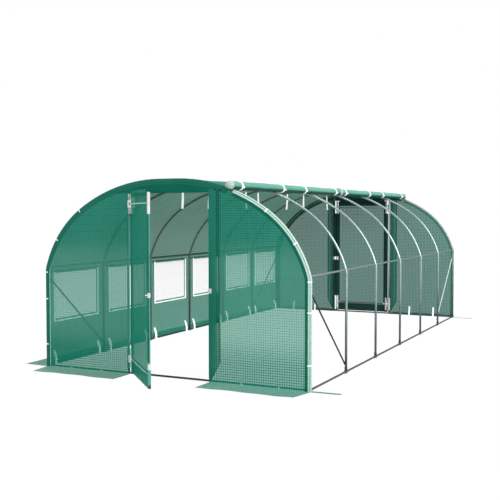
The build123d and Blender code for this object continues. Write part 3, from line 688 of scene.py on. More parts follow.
def hem_tape_finish():
    """The tape down the open side with a fine weave, pale at eye height as a painted highlight, greener low
    down.
    """
    made, mixer = new_finish("hem_tape_painted_highlight")
    weave = mixer.threads(*TAPE_WEAVE)
    height = mixer.math("ADD", mixer.places("Object")["Z"], mixer.cloud(*TAPE_DRIFT))
    # Painted highlight: the tape is painted pale at eye height where the side light falls on it, greener
    # towards the ground
    rise = mixer.ramp(height, 0.0, TAPE_HIGHLIGHT_HEIGHT, smooth=True)
    base = mixer.colour(weave, mixer.colour(rise, TAPE_FOOT, TAPE_HIGHLIGHT), TAPE_THREAD)
    mixer.show(mixer.cloth(base, mixer.bump(weave, *TAPE_BUMP), mixer.cloud(*TAPE_SHEEN), TAPE_LIGHT))
    return made


def window_net_finish():
    """Fine white insect net: a close grid of threads with small clear holes."""
    made, mixer = new_finish("window_net_finish")
    thread = mixer.threads(*NET_WEAVE)
    base = mixer.colour(mixer.cloud(*NET_DRIFT), *NET_COLOURS)
    cloth = mixer.cloth(base, mixer.bump(thread, *NET_BUMP), mixer.cloud(*NET_SHEEN), NET_LIGHT)
    mixer.show(mixer.see_through(cloth, mixer.ramp(thread, 0.0, 1.0, *NET_CLEAR), NET_TINT))
    return made


def webbing_finish():
    """White polyester webbing: fine ribs, light through it, and a painted glow that makes it shine in shade.
    """
    made, mixer = new_finish("webbing_finish")
    rib = mixer.threads(*RIB_WEAVE)
    base = mixer.colour(rib, mixer.colour(mixer.cloud(*RIB_DRIFT), *WEBBING_COLOURS), RIB_COLOUR)
    cloth = mixer.cloth(base, mixer.bump(rib, *WEBBING_BUMP), mixer.cloud(*WEBBING_SHEEN), WEBBING_LIGHT)
    # Painted glow: an emission that brightens the webbing where it lies in shade
    painted_glow_shader = mixer.node("Emission", {"Color": base, "Strength": PAINTED_GLOW})
    mixer.show(mixer.node("AddShader", {0: cloth, 1: painted_glow_shader.outputs[0]}).outputs[0])
    return made


def galvanised_finish(name, zincs, soil_and_shade, shaded_before=None):
    """Galvanised steel tube: a spangle of zinc crystals, and soil splash with painted shade near the ground.

    Under the closed side it is darkened by painted shade, and towards the open side it is bright. A painted
    shade, given as a place along the tunnel, darkens what stands in front of it.
    """
    made, mixer = new_finish(name)
    place = mixer.node("TexCoord").outputs["Object"]
    spangle = mixer.node("TexVoronoi", {"Vector": place, "Scale": SPANGLE_SCALE})
    grey = mixer.node("SeparateColor", {0: spangle.outputs["Color"]}).outputs[0]
    parts = mixer.places("Object")
    # Painted shade: the zinc is darkened towards the closed side, where the tubes lie in the shade of the
    # roof
    shaded_side = mixer.ramp(parts["X"], SHADE_X_FROM, SHADE_X_TO, SHADE_X_SHARE, 0.0, smooth=True)
    zinc = mixer.colour(shaded_side, mixer.colour(grey, *zincs), PAINTED_SHADE_ZINC)
    # Soil splash and painted shade: darker towards the ground, for dirt and for the dimmer light on the lower
    # legs
    height = mixer.math("ADD", parts["Z"], mixer.cloud(*SPLASH_AND_SHADE_DRIFT))
    splash_and_shade = mixer.ramp(height, SPLASH_AND_SHADE_LOW, SPLASH_AND_SHADE_HIGH, soil_and_shade, 0.0, smooth=True)
    tone = mixer.colour(splash_and_shade, zinc, SOIL_AND_SHADE_COLOUR)
    # Painted shade: what stands in front of the given place along the tunnel is darkened
    if shaded_before is not None:
        tone = mixer.colour(mixer.ramp(parts["Y"], shaded_before - SHADE_ALONG_FADE, shaded_before, 1.0, 0.0), tone, SOIL_AND_SHADE_COLOUR)
    tube = mixer.node("BsdfPrincipled", {
        "Base Color": tone, "Metallic": ZINC_METAL, "Specular Tint": ZINC_RIM,
        "Roughness": mixer.cloud(*ZINC_SHEEN), "Normal": mixer.bump(grey, *ZINC_BUMP),
    })
    mixer.show(tube.outputs[0])
    return made


def plastic_finish(name, light, dark, pebble_scale):
    """Moulded plastic: a faint mottle in its colour, a satin skin and a fine pebble."""
    made, mixer = new_finish(name)
    body = mixer.node("BsdfPrincipled", {
        "Base Color": mixer.colour(mixer.cloud(*MOTTLE), light, dark),
        "Roughness": mixer.cloud(*PLASTIC_SHEEN), "Specular IOR Level": PLASTIC_SHINE,
        "Normal": mixer.bump(mixer.cloud(pebble_scale, PEBBLE_DETAIL), *PEBBLE_BUMP),
    })
    mixer.show(body.outputs[0])
    return made


END_TINT = (0.57, 0.76, 0.685)
# Painted shade: the rear end lets less through and is greyer, for the rear seen from inside in shade
REAR_SHADE_TINT = (0.463, 0.610, 0.575)
SIDE_TINT = (0.45, 0.56, 0.505)
# The end film carries the painted sheen at window height
COVER = woven_green("woven_cover", ((0.010, 0.256, 0.176), (0.024, 0.308, 0.218)),
                    (0.003, 0.125, 0.085), 0.07, clear=(0.38, 0.02), tint=END_TINT, painted_sheen=True)
DOOR = woven_green("door_cover", ((0.003, 0.250, 0.168), (0.008, 0.296, 0.204)), (0.002, 0.140, 0.092), 0.07,
                   clear=(0.27, 0.02), tint=SIDE_TINT)
SIDE = woven_green("side_cover", ((0.007, 0.272, 0.187), (0.019, 0.327, 0.231)), (0.003, 0.145, 0.098), 0.07,
                   clear=(0.40, 0.02), tint=SIDE_TINT, roof=True)
# Painted shade: the rear end and door are a darker, greyer copy of the end film, for the rear seen from
# inside
REAR_SHADED = woven_green("rear_cover_painted_shade", ((0.014, 0.180, 0.136), (0.036, 0.216, 0.168)), (0.006, 0.098, 0.072), 0.07,
                   clear=(0.40, 0.02), tint=REAR_SHADE_TINT)
FLAP = woven_green("jamb_flap", ((0.007, 0.200, 0.136), (0.018, 0.240, 0.168)), (0.003, 0.125, 0.085), 0.07,
                   clear=(0.66, 0.40), tint=END_TINT)
BAND = woven_green("doubled_band", ((0.001, 0.100, 0.066), (0.004, 0.130, 0.088)),
                   (0.005, 0.140, 0.094), 0.08, clear=(0.06, 0.03), tint=SIDE_TINT)
FACING = woven_green("jamb_facing", ((0.020, 0.220, 0.156), (0.034, 0.262, 0.192)),
                     (0.008, 0.160, 0.112), 0.08, clear=(0.27, 0.03), tint=END_TINT)
# Painted shade: a near-black green for the rear's hems, seams, edges and tube pockets, partly doubled film
# and partly painted darker for the shade they lie in
REAR_PAINTED_SHADE = woven_green("rear_dark_painted_shade", ((0.012, 0.056, 0.046), (0.019, 0.072, 0.060)), (0.008, 0.046, 0.038), 0.05,
                   clear=(0.04, 0.02), tint=SIDE_TINT)
# The arch hem carries the painted highlight line of the hoop tube
HEM = woven_green("arch_hem", ((0.012, 0.150, 0.104), (0.022, 0.185, 0.134)), (0.005, 0.115, 0.080), 0.08,
                  clear=(0.10, 0.03), tint=SIDE_TINT, painted_highlight=True)
# The roll's underside is painted dark: painted shade
ROLLED = woven_green("rolled_cover", ((0.120, 0.380, 0.290), (0.185, 0.450, 0.355)),
                     (0.095, 0.345, 0.258), 0.05, shade_below=ROLL_Z - ROLL_SINK - SHADE_BELOW_ROLL)
ROLLED_FLAP = woven_green("rolled_flap", ((0.075, 0.340, 0.250), (0.120, 0.400, 0.305)),
                          (0.060, 0.300, 0.222), 0.05)
LASHING = woven_green("lashing_cloth", ((0.40, 0.47, 0.45), (0.56, 0.62, 0.60)), (0.44, 0.51, 0.49), 0.10)
TAPE = hem_tape_finish()
NET = window_net_finish()
WEBBING = webbing_finish()
GALVANISED = galvanised_finish("galvanised_finish", ((0.29, 0.375, 0.352), (0.41, 0.510, 0.485)), 0.92)
# Painted shade: the base rails get a darker, greyer copy of the zinc, for rails in shadow at the foot of the
# cover
SHADED_RAILS = galvanised_finish("rail_painted_shade", ((0.22, 0.235, 0.24), (0.32, 0.335, 0.34)), 0.40)
# The braces are lit and shaded copies of the zinc: a bright zinc as painted highlight, darkened at the front
# as painted shade
LIT_AND_SHADED_BRACES = galvanised_finish("brace_painted_light", ((0.62, 0.72, 0.69), (0.74, 0.84, 0.81)), 0.0, BAY_MIDDLES[2])
BLACK = plastic_finish("black_plastic", (0.020, 0.021, 0.024), (0.032, 0.033, 0.036), 900.0)
WHITE = plastic_finish("white_plastic", (0.66, 0.68, 0.67), (0.57, 0.59, 0.58), 700.0)


# Cover: the left side and the roof

def bay_sag(y):
    """0 at every hoop and 1 in the middle of each bay, as a squared sine."""
    return np.sin(np.pi * (y - FRONT_Y) / BAY) ** 2


def hump(s, start, end):
    """0 at start, at end and beyond them, and 1 midway, as a squared sine."""
    return np.sin(np.pi * np.clip((s - start) / (end - start), 0, 1)) ** 2


def skirt_lift(out, along):
    """The skirt's height over the ground: nil at the fold and a low wave towards its free edge."""
    wave = 1.0 + waves(SKIRT_WAVES, along, out)
    return SKIRT_LIFT + SKIRT_WAVE * (out / SKIRT_WIDTH) ** SKIRT_WAVE_POWER * wave


def side_slack(s, y):
    """How far the film hangs in: most in mid-bay, nil at the hoops, the purlin, the ridge and the foot."""
    roof = hump(s, PURLIN_S, HALF_ARCH)
    past = hump(s, HALF_ARCH, ROLL_S)
    wall = hump(s, 0.0, PURLIN_S)
    hang = ROOF_SLACK * roof + RIGHT_SLACK * past + WALL_SLACK * wall
    folds = RIPPLE * waves(RIPPLE_WAVES, y, s) * (roof + past + wall)
    return (hang + folds) * bay_sag(y)


def side_cover():
    """Skirt, left wall and roof as one sheet.

    Across it runs the distance s from the left foot over the hoop, with the skirt at s below nil laid on the
    ground. Along it runs y. The film stands off the hoops by its offset less the slack.
    """
    roof_end = ROLL_S - ROLL_LAP
    window_top = WINDOW_SILL + WINDOW_HEIGHT
    s = lines(-SKIRT_WIDTH, 0.0, WINDOW_SILL, window_top, LEG_TOP, PURLIN_S, roof_end, step=SIDE_STEPS[0])
    ends = (HOOP_YS[0] - FILM_OFFSET, HOOP_YS[-1] + FILM_OFFSET)
    windows = (BAY_MIDDLES - WINDOW_WIDTH / 2, BAY_MIDDLES + WINDOW_WIDTH / 2)
    y = lines(*np.sort(np.concatenate([*windows, HOOP_YS, ends])), step=SIDE_STEPS[1])
    grid_s, grid_y = grid(s, y)
    over = np.maximum(grid_s, 0)
    out = np.maximum(-grid_s, 0)
    x, z = arch(over, FILM_OFFSET - side_slack(over, grid_y))
    z = np.where(grid_s < 0, skirt_lift(out, grid_y), np.maximum(z, SKIRT_LIFT))
    in_window = np.abs(cells(y)[:, None] - BAY_MIDDLES).min(axis=1) < WINDOW_WIDTH / 2
    at_window = (cells(s) > WINDOW_SILL) & (cells(s) < window_top)
    kept = ~(at_window[:, None] & in_window[None, :])
    charts = [(stacked(x - out, grid_y, z), stacked(grid_y, grid_s), kept)]
    piece = surface("side_cover", charts, "tunnel", SIDE, flip=True)
    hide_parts("roof_cover", "left_wall_cover", "left_skirt")


# Cover: the two ends

def at_front(points):
    """An end's own points, which face the front, carried to the front hoop."""
    return points + np.array([0.0, FRONT_Y, 0.0])


def at_rear(points):
    """An end's own points turned half round and carried to the rear hoop."""
    return points * np.array([-1.0, -1.0, 1.0]) + np.array([0.0, REAR_Y, 0.0])


def placed(charts, place):
    """Charts with their points carried to their place."""
    return [(place(points), *rest) for points, *rest in charts]


ENDS = (("front", at_front, 1.0), ("rear", at_rear, -1.0))
END_FINISHES = {"front": COVER, "rear": REAR_SHADED}
DOOR_FINISHES = {"front": DOOR, "rear": REAR_SHADED}
# For the rear, the hems, seams, edges and pockets take the near-black painted shade
HEM_FINISHES = {"front": DOOR, "rear": REAR_PAINTED_SHADE}
HEM_LAYERS = {"front": 1.0, "rear": -0.45}
# The rear's pockets are dark sheets over tubes that lie in shade: painted shade
POCKET_FINISHES = {"front": ROLLED_FLAP, "rear": REAR_PAINTED_SHADE}
SEAM_FINISHES = {"front": TAPE, "rear": REAR_PAINTED_SHADE}
EDGE_FINISHES = {"front": FACING, "rear": REAR_PAINTED_SHADE}
OPEN_EDGE_FINISHES = {"front": BAND, "rear": FLAP}
CORE_FINISHES = {"front": FACING, "rear": FLAP}
DOOR_SIDE_HEMS = {"front": 0.052, "rear": 0.075}
DOOR_HEAD_HEMS = {"front": 0.036, "rear": 0.070}

# The front doorway has no jamb strips on its hinge side
JAMB_SIDES = {"front": (1,), "rear": (-1, 1)}

# Cuts in an end's film for the hinge lugs and the latch keeper: side, reach, low and high
LATCH_LOW, LATCH_HIGH = LATCH_HEIGHT - LATCH_CUT, LATCH_HEIGHT + LATCH_CUT
POST_NOTCHES = [
    *((-1, POST_LUG_REACH, middle - POST_LUG_CUT, middle + POST_LUG_CUT) for middle in SLEEVE_MIDDLES),
    (1, NOTCH_REACH, LATCH_LOW, LATCH_HIGH),
]


def off_notches(x, z):
    """Which places of an end's film lie clear of the cuts in it."""
    clear = np.ones(np.broadcast(x, z).shape, bool)
    for side, cut, low, high in POST_NOTCHES:
        beside = (side * x > 0) & (side * x < DOOR_HALF + cut)
        clear &= ~(beside & (z > low) & (z < high))
    return clear


def sleeve_bump(x, z, heights):
    """How far a film is pushed out over sleeves at distance x from it.

    It is a bell across the sleeves, level along them, and a soft step at their ends.
    """
    inside = [SLEEVE_LENGTH / 2 + SLEEVE_END - np.abs(z - height) for height in heights]
    along = sum(np.tanh(distance / SLEEVE_END) / 2 + 0.5 for distance in inside)
    return SLEEVE_BUMP * np.exp(-(x / SLEEVE_BUMP_REACH) ** 2) * along


def end_slack(x, z):
    """How far an end's film bellies out between the jamb and the hoop, and over the hinge post's sleeves.

    The folds die out at the film's edges.
    """
    span = np.maximum(half_width(z) - DOOR_HALF, LEAST_SPAN)
    across = np.clip((np.abs(x) - DOOR_HALF) / span, 0, 1)
    belly = np.sin(np.pi * across) * np.sin(np.pi * np.clip(z / HEADER_Z, 0, 1))
    folds = RIPPLE * waves(RIPPLE_WAVES, x * END_RIPPLE_SPREAD[0], z * END_RIPPLE_SPREAD[1])
    return END_SLACK * belly + folds * belly + sleeve_bump(x + POST_X, z, SLEEVE_MIDDLES)


def end_face(x, z, layer):
    """Points on an end's film, a number of layers in front of it."""
    return stacked(x, -FILM_OFFSET - end_slack(x, z) - layer * LAYER_GAP, z)


def end_sheet(name, place):
    """One end with its two skirts as a single sheet round the doorway.

    Each row is level, from hoop to hoop, at a distance t up the hoop. Its columns are fixed beside the
    doorway and shared out evenly from there to the hoop. Rows below nil lie on the ground in front.
    """
    marks = [0.0, *sorted({z for notch in POST_NOTCHES for z in notch[2:]} | {HEADER_Z})]
    t = lines(*arch_distance(np.array(marks)), STARTS[4], step=END_ROW_STEP)
    x_hoop, z_hoop, angle = half_arch(t)
    reach = x_hoop + HOOP_RADIUS * np.cos(angle)
    z = z_hoop + HOOP_RADIUS * np.sin(angle)
    z[0] = SKIRT_LIFT
    jamb = lines(0.0, POST_LUG_REACH, NOTCH_REACH, JAMB_BAND, step=JAMB_STEP)
    fixed = np.concatenate([lines(0.0, DOOR_HALF, step=DOORWAY_STEP)[:-1], DOOR_HALF + jamb])
    inner = fixed[None, :] * np.minimum(1.0, CROWN_SHARE * reach / fixed[-1])[:, None]
    shares = np.linspace(0, 1, END_COLUMNS)[1:]
    outer = inner[:, -1:] + (reach[:, None] - inner[:, -1:]) * shares[None, :]
    half = np.concatenate([inner, outer], axis=1)
    x = np.concatenate([-half[:, :0:-1], half], axis=1)
    upright = end_face(x, z[:, None], 0)
    out = np.linspace(SKIRT_WIDTH, 0, 12)[:-1, None]
    foot = x[:1]
    corner = np.clip((np.abs(foot) - CORNER_START) / (reach[0] - CORNER_START), 0, 1)
    laid_x = foot - np.sign(foot) * corner * CORNER_IN * out / SKIRT_WIDTH
    laid = stacked(laid_x, -FILM_OFFSET - out, skirt_lift(out, foot + END_SKIRT_SHIFT))
    points = np.concatenate([laid, upright], axis=0)
    v = np.concatenate([-out[:, 0], z])
    column = cells((np.abs(points[:, 1:, 0]) + np.abs(points[:, :-1, 0])) / 2)
    side = np.sign(points[:-1, 1:, 0] + points[:-1, :-1, 0])
    row = cells(v)[:, None]
    kept = off_notches(side * column, row) & ~((column < DOOR_HALF) & (row < HEADER_Z))
    charts = [(place(points), stacked(points[..., 0], v[:, None]), kept)]
    piece = surface(f"{name}_end_cover", charts, "tunnel", END_FINISHES[name], flip=True)
    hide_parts(*[f"{name}_{part}" for part in ("panel_left", "panel_right", "panel_top", "skirts")])


def hoop_strip(place, s, face, side, layer, mirror=1.0):
    """A strip that folds round an end hoop: over the end's face, round the tube and on along the side.

    Its section, a short face, a quarter round and a short side, is carried along the hoop at distances s.
    """
    turn = np.linspace(0, np.pi / 2, 6)
    bend = FILM_OFFSET + layer * LAYER_GAP
    faces = np.linspace(face, 0.0, 4)[:-1]
    sides = np.linspace(0.0, side, 4)[1:]
    offset = np.concatenate([faces, bend * np.sin(turn), bend + 0 * sides])
    y = np.concatenate([-bend + 0 * faces, -bend * np.cos(turn), sides])
    run = np.concatenate([[0], np.cumsum(np.hypot(np.diff(offset), np.diff(y)))])
    grid_s, grid_offset = grid(s, offset)
    x, z = arch(grid_s, grid_offset)
    points = stacked(mirror * x, y[None, :], z)
    return place(faced(points, mirror)), faced(stacked(grid_s, run[None, :]), mirror)


def arch_hems():
    """The dark hem of each end round its hoop, from the left foot over the ridge to the rolled side."""
    s = np.linspace(FOOT_GAP, ROLL_S - ROLL_LAP, 150)
    for name, place, open_side in ENDS:
        points, uv = hoop_strip(place, s, -HEM_FACE, HEM_SIDE - FILM_OFFSET, 2, mirror=open_side)
        piece = surface(f"{name}_hem", [(points, uv)], "tunnel", HEM, flip=True)


def open_side_strips():
    """What is left of the open side at each end hoop: a band beside the tube, a pale tape round it, a tail.

    The band lies flat on the end's face, the tape folds round the tube, and the tail lies out on the ground.
    """
    s = np.linspace(ROLL_S + ROLL_RADIUS, 2 * HALF_ARCH - FOOT_GAP, 90)
    grid_s, grid_offset = grid(s, np.linspace(-EDGE_BAND, -EDGE_BAND_OUT, 4))
    x, z = arch(grid_s, grid_offset)
    out, along = grid(np.linspace(0, SKIRT_WIDTH, 9), np.linspace(-FILM_OFFSET, HEM_SIDE - FILM_OFFSET, 4))
    for name, place, open_side in ENDS:
        flat = stacked(open_side * x, -FILM_OFFSET - 2 * LAYER_GAP, z)
        flat = [(place(faced(flat, open_side)), stacked(grid_s, grid_offset))]
        finish = OPEN_EDGE_FINISHES[name]
        band = surface(f"{name}_edge_band", flat, "tunnel", finish, flip=True)
        points, uv = hoop_strip(place, s, -EDGE_BAND_OUT, TAPE_SIDE, 1, mirror=open_side)
        tape = surface(f"{name}_side_tape", [(points, uv)], "tunnel", TAPE, flip=True)
        tail = stacked(open_side * (LEG_X + FILM_OFFSET + out), along, skirt_lift(out, along + TAIL_SHIFT))
        tail = [(place(faced(tail, open_side)), stacked(along, out))]
        foot = surface(f"{name}_side_tail", tail, "tunnel", FACING, flip=True)
        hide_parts("right_hems")
        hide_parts("right_hems")


def hoop_loops():
    """White loops that hold each end's hem to its hoop, both sides, as short strips folded round the tube."""
    for name, place, _ in ENDS:
        strips = []
        for middle in arch_distance(np.array(LOOP_HEIGHTS)):
            s = middle + LOOP_WIDTH * np.linspace(-0.5, 0.5, 3)
            for side in (-1.0, 1.0):
                strips.append(hoop_strip(place, s, -LOOP_FACE, LOOP_SIDE, LOOP_LAYER, mirror=side))
        surface(f"{name}_hem_loops", strips, "tunnel", WEBBING, flip=True)


def jamb_strip(place, side, across, top, rows, layer):
    """A strip on an end's film at one side of its doorway, with the cuts for the fittings left open.

    Its columns lie at distances across from the doorway. Each goes straight up to the top from a foot that is
    level at first and then rises along a slant.
    """
    foot = BAND_FOOT + CHAMFER_SLOPE * np.maximum(across - CHAMFER_START, 0)
    z = foot[None, :] + (top - foot)[None, :] * np.linspace(0, 1, rows)[:, None]
    uv = stacked(side * (DOOR_HALF + across[None, :]), z)
    middle = (uv[1:, 1:] + uv[:-1, :-1]) / 2
    kept = off_notches(middle[..., 0], middle[..., 1])
    points = place(end_face(uv[..., 0], z, layer))
    return faced(points, side), faced(uv, side), faced(kept, side)


def jamb_bands():
    """Doubled strips beside each doorway, their lower outer corners cut at a slant, with narrow cores."""
    for name, place, _ in ENDS:
        sides = JAMB_SIDES[name]
        for part, width, layer, finish in (
            ("bands", JAMB_BAND, 1, FLAP),
            ("cores", JAMB_CORE, 2, CORE_FINISHES[name]),
        ):
            across = lines(0.0, POST_LUG_REACH, NOTCH_REACH, CHAMFER_START, width, step=JAMB_STEP)
            run = (across, HEADER_Z + JAMB_LAP, JAMB_ROWS)
            strips = [jamb_strip(place, side, *run, layer) for side in sides]
            piece = surface(f"{name}_jamb_{part}", strips, "tunnel", finish, flip=True)


def jamb_edges():
    """A binding along the outer edge of each jamb band: down its side and along its slanting corner."""
    down = lines(JAMB_BAND - JAMB_EDGE, JAMB_BAND, step=JAMB_EDGE / 2)
    slant = lines(CHAMFER_START, JAMB_BAND - JAMB_EDGE, step=JAMB_STEP)
    slant_top = BAND_FOOT + CHAMFER_SLOPE * (slant - CHAMFER_START) + 2 * JAMB_EDGE
    runs = ((down, HEADER_Z + JAMB_LAP, JAMB_ROWS), (slant, slant_top, 4))
    for name, place, _ in ENDS:
        sides = JAMB_SIDES[name]
        strips = [jamb_strip(place, side, *run, 2) for side in sides for run in runs]
        piece = surface(f"{name}_jamb_edges", strips, "tunnel", EDGE_FINISHES[name], flip=True)


def pocket(start, end, radius):
    """A film pocket round a tube: a circle square to the line from start to end, carried along it."""
    start, end = np.array(start), np.array(end)
    length = np.linalg.norm(end - start)
    along = (end - start) / length
    ahead = np.array([0.0, 1.0, 0.0])
    turn = np.linspace(0, 2 * np.pi, 25)
    run = lines(0.0, length, step=POCKET_STEP)
    ring = radius * (np.cos(turn)[:, None] * ahead + np.sin(turn)[:, None] * np.cross(along, ahead))
    return start + run[:, None, None] * along + ring[None], stacked(run[:, None], radius * turn[None, :])


def upright_pockets(stretches):
    """Pockets round upright tubes, each given as its place across, its two ends and its radius."""
    return [pocket((x, 0.0, low), (x, 0.0, high), radius) for x, low, high, radius in stretches]


def tube_pockets():
    """The cover's pockets round the tubes of the doorways, each a circle carried along its tube.

    One is round each header, one round each latch post below and above the keeper, and one round the front
    hinge post with its lower sleeve, open at the lug.
    """
    radius = HEADER_RADIUS + POCKET_GAP
    reach = POST_X - HOOP_RADIUS - POCKET_END
    height = HEADER_Z + HEADER_RADIUS
    header = [pocket((-reach, 0.0, height), (reach, 0.0, height), radius)]
    stretches = ((BAND_FOOT, LATCH_LOW), (LATCH_HIGH, HEADER_Z))
    post = upright_pockets([(POST_X, low, high, POST_POCKET) for low, high in stretches])
    length = sum(high - low for low, high in stretches)
    for name, place, _ in ENDS:
        for part, charts, flat in (
            ("header", header, (2 * np.pi * radius, 2 * reach)),
            ("post", post, (2 * np.pi * POST_POCKET, length)),
        ):
            piece = surface(f"{name}_{part}_pocket", placed(charts, place), "tunnel", EDGE_FINISHES[name])
    hinge, top = SLEEVE_MIDDLES
    half = SLEEVE_LENGTH / 2
    charts = upright_pockets([
        (-POST_X, hinge - half, hinge - POST_LUG_CUT, POST_SLEEVE_POCKET),
        (-POST_X, hinge + POST_LUG_CUT, hinge + half, POST_SLEEVE_POCKET),
        (-POST_X, hinge + half, top - half, POST_POCKET),
    ])
    piece = surface("front_hinge_pocket", placed(charts, at_front), "tunnel", ROLLED_FLAP)


def header_bands():
    """A doubled strip over each doorway, from the header up to the hoop."""
    x = np.linspace(-DOOR_HALF - JAMB_BAND, DOOR_HALF + JAMB_BAND, 40)
    low = HEADER_Z + HEADER_BAND_FOOT
    hoop_x, hoop_z, _ = half_arch(np.linspace(STARTS[3], HALF_ARCH, 300))
    top = np.interp(-np.abs(x), -hoop_x, hoop_z) - HEADER_BAND_GAP
    z = low + (top[None, :] - low) * np.linspace(0, 1, 6)[:, None]
    grid_x = x[None, :] + 0 * z
    for name, place, _ in ENDS:
        charts = [(place(end_face(grid_x, z, HEADER_BAND_LAYER)), stacked(grid_x, z))]
        piece = surface(f"{name}_header_band", charts, "tunnel", BAND, flip=True)


# Doors

# Stretches of the stiles between the sleeves, and on the latch side below and above the latch
STILE_FOOT, STILE_HEAD = SLEEVE_FOOT + SLEEVE_LENGTH, SLEEVE_TOP - SLEEVE_LENGTH
LATCH_STRETCHES = ((STILE_FOOT, LATCH_LOW), (LATCH_HIGH, STILE_HEAD))

# Cuts in a door's film for the hinge lug, the sleeves and the latch: side, start, low and high
LUG_LOW, LUG_HIGH = SLEEVE_MIDDLES[0] - DOOR_LUG_CUT, SLEEVE_MIDDLES[0] + DOOR_LUG_CUT
CUT_X = DOOR_EDGE - DOOR_NOTCH
LUG_X = DOOR_EDGE - DOOR_LUG_REACH
DOOR_CUTS = (
    (-1, LUG_X, LUG_LOW, LUG_HIGH),
    (1, CUT_X, DOOR_FOOT, STILE_FOOT + NOTCH_GAP),
    (1, CUT_X, LATCH_LOW, LATCH_HIGH),
    (-1, CUT_X, STILE_HEAD - NOTCH_GAP, DOOR_TOP),
    (1, CUT_X, STILE_HEAD - NOTCH_GAP, DOOR_TOP),
)


def swung(points, opening):
    """A closed door's points turned open about its pin, in the end's own frame."""
    arm = points - PIN
    x = np.cos(opening) * arm[..., 0] + np.sin(opening) * arm[..., 1]
    y = np.cos(opening) * arm[..., 1] - np.sin(opening) * arm[..., 0]
    return stacked(x, y, arm[..., 2]) + PIN


def door_face(x, z, lift):
    """Points on a closed door's film, lifted off it.

    It bellies out as the product of two half sines, with folds, and over the sleeve of the lower hinge.
    """
    belly = np.cos(np.pi * x / (2 * DOOR_EDGE)) * np.sin(np.pi * (z - DOOR_FOOT) / (DOOR_TOP - DOOR_FOOT))
    bulge = DOOR_SLACK * belly * (1 + DOOR_FOLDS * waves(RIPPLE_WAVES, x * DOOR_FOLD_SPREAD, z))
    bulge = bulge + sleeve_bump(x + STILE_X, z, SLEEVE_MIDDLES[:1])
    return stacked(x, -DOOR_PLANE - bulge - lift, z)


def door_film(name):
    """A closed door's film and its hems, as charts of one level and upright grid.

    The film is cut round the sleeves and the latch, and the hems are a second layer along its edges.
    """
    inner, neck = DOOR_EDGE - DOOR_SIDE_HEMS[name], DOOR_TOP - DOOR_HEAD_HEMS[name]
    hem_top = DOOR_FOOT + DOOR_FOOT_HEM
    x = lines(-DOOR_EDGE, -LUG_X, -CUT_X, -inner, inner, CUT_X, DOOR_EDGE, step=DOOR_STEP)
    stops = {DOOR_FOOT, hem_top, neck, DOOR_TOP} | {z for cut in DOOR_CUTS for z in cut[2:]}
    z = lines(*sorted(stops), step=DOOR_STEP)
    grid_z, grid_x = grid(z, x)
    middle_x, middle_z = cells(x)[None, :], cells(z)[:, None]
    kept = np.ones((len(z) - 1, len(x) - 1), bool)
    for side, reach, low, high in DOOR_CUTS:
        kept &= ~((side * middle_x > reach) & (middle_z > low) & (middle_z < high))
    hemmed = (np.abs(middle_x) > inner) | (middle_z < hem_top) | (middle_z > neck)
    uv = stacked(grid_x, grid_z)
    film = (door_face(grid_x, grid_z, 0.0), uv, kept)
    hems = (door_face(grid_x, grid_z, HEM_LAYERS[name] * LAYER_GAP), uv, kept & hemmed)
    return [film], [hems]


def door_seams():
    """Narrow strips across a closed door's film at the heights of its rails."""
    charts = []
    for rail in SLEEVE_MIDDLES:
        rows = rail + DOOR_SEAM * np.linspace(-0.5, 0.5, 3)
        z, x = grid(rows, lines(-CUT_X, CUT_X, step=DOOR_STEP))
        charts.append((door_face(x, z, DOOR_SEAM_LAYER * LAYER_GAP), stacked(x, z)))
    return charts


def door_pockets(name):
    """A closed door's pockets round its stiles, and on the front door round its lower sleeves too."""
    stretches = [(-STILE_X, STILE_FOOT, STILE_HEAD, STILE_POCKET)]
    stretches += [(STILE_X, low, high, STILE_POCKET) for low, high in LATCH_STRETCHES]
    if name == "front":
        stretches += [
            (STILE_X, SLEEVE_FOOT, STILE_FOOT - SLEEVE_SHOWN, SLEEVE_POCKET),
            (-STILE_X, SLEEVE_FOOT, LUG_LOW, SLEEVE_POCKET),
            (-STILE_X, LUG_HIGH, STILE_FOOT, SLEEVE_POCKET),
        ]
    return upright_pockets(stretches)


def door_laps():
    """Strips on a closed door that lap over the end's film, down the latch side and along the head.

    Each leaves the door's film, swings outwards along a smooth step, and runs on level in front of the end's
    film.
    """
    near = DOOR_PLANE + LAYER_GAP
    parts = []
    for low, high in LATCH_STRETCHES:
        z, x = grid(lines(low, high, step=LAP_ROW_STEP), lines(LAP_START, LAP_BEND, LAP_EDGE, step=LAP_STEP))
        parts.append((x, z, (x - LAP_START) / (LAP_BEND - LAP_START)))
    start = DOOR_TOP - LAP_HEAD_DROP
    rows = lines(start, HEADER_Z, HEADER_Z + LAP_HEAD_RISE, step=LAP_STEP)
    z, x = grid(rows, lines(-LAP_HEAD, LAP_HEAD, step=LAP_ROW_STEP))
    parts.append((x, z, (z - start) / (HEADER_Z - start)))
    charts = []
    for x, z, share in parts:
        out = near + (LAP_OUT - near) * soft_step(np.clip(share, 0, 1))
        charts.append((stacked(x, -out, z), stacked(x, z)))
    return charts


def door_sheet(name, place):
    """A door's film with its hems, seams, pockets and laps, each swung open about the pin."""
    def opened(points):
        """The closed door's points swung open and carried to their end."""
        return place(swung(points, DOOR_ANGLES[name]))

    film, hems = door_film(name)
    for part, charts, finish in (
        ("film", film, DOOR_FINISHES[name]),
        ("hems", hems, HEM_FINISHES[name]),
        ("seams", door_seams(), SEAM_FINISHES[name]),
        ("pockets", door_pockets(name), POCKET_FINISHES[name]),
        ("laps", door_laps(), HEM_FINISHES[name]),
    ):
        piece = surface(f"{name}_door_{part}", placed(charts, opened), f"{name}_door", finish,
                        flip=part != "pockets")
    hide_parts(f"{name}_door_cover")


# The rolled side and its straps

ALONG = (0.0, 1.0, 0.0)


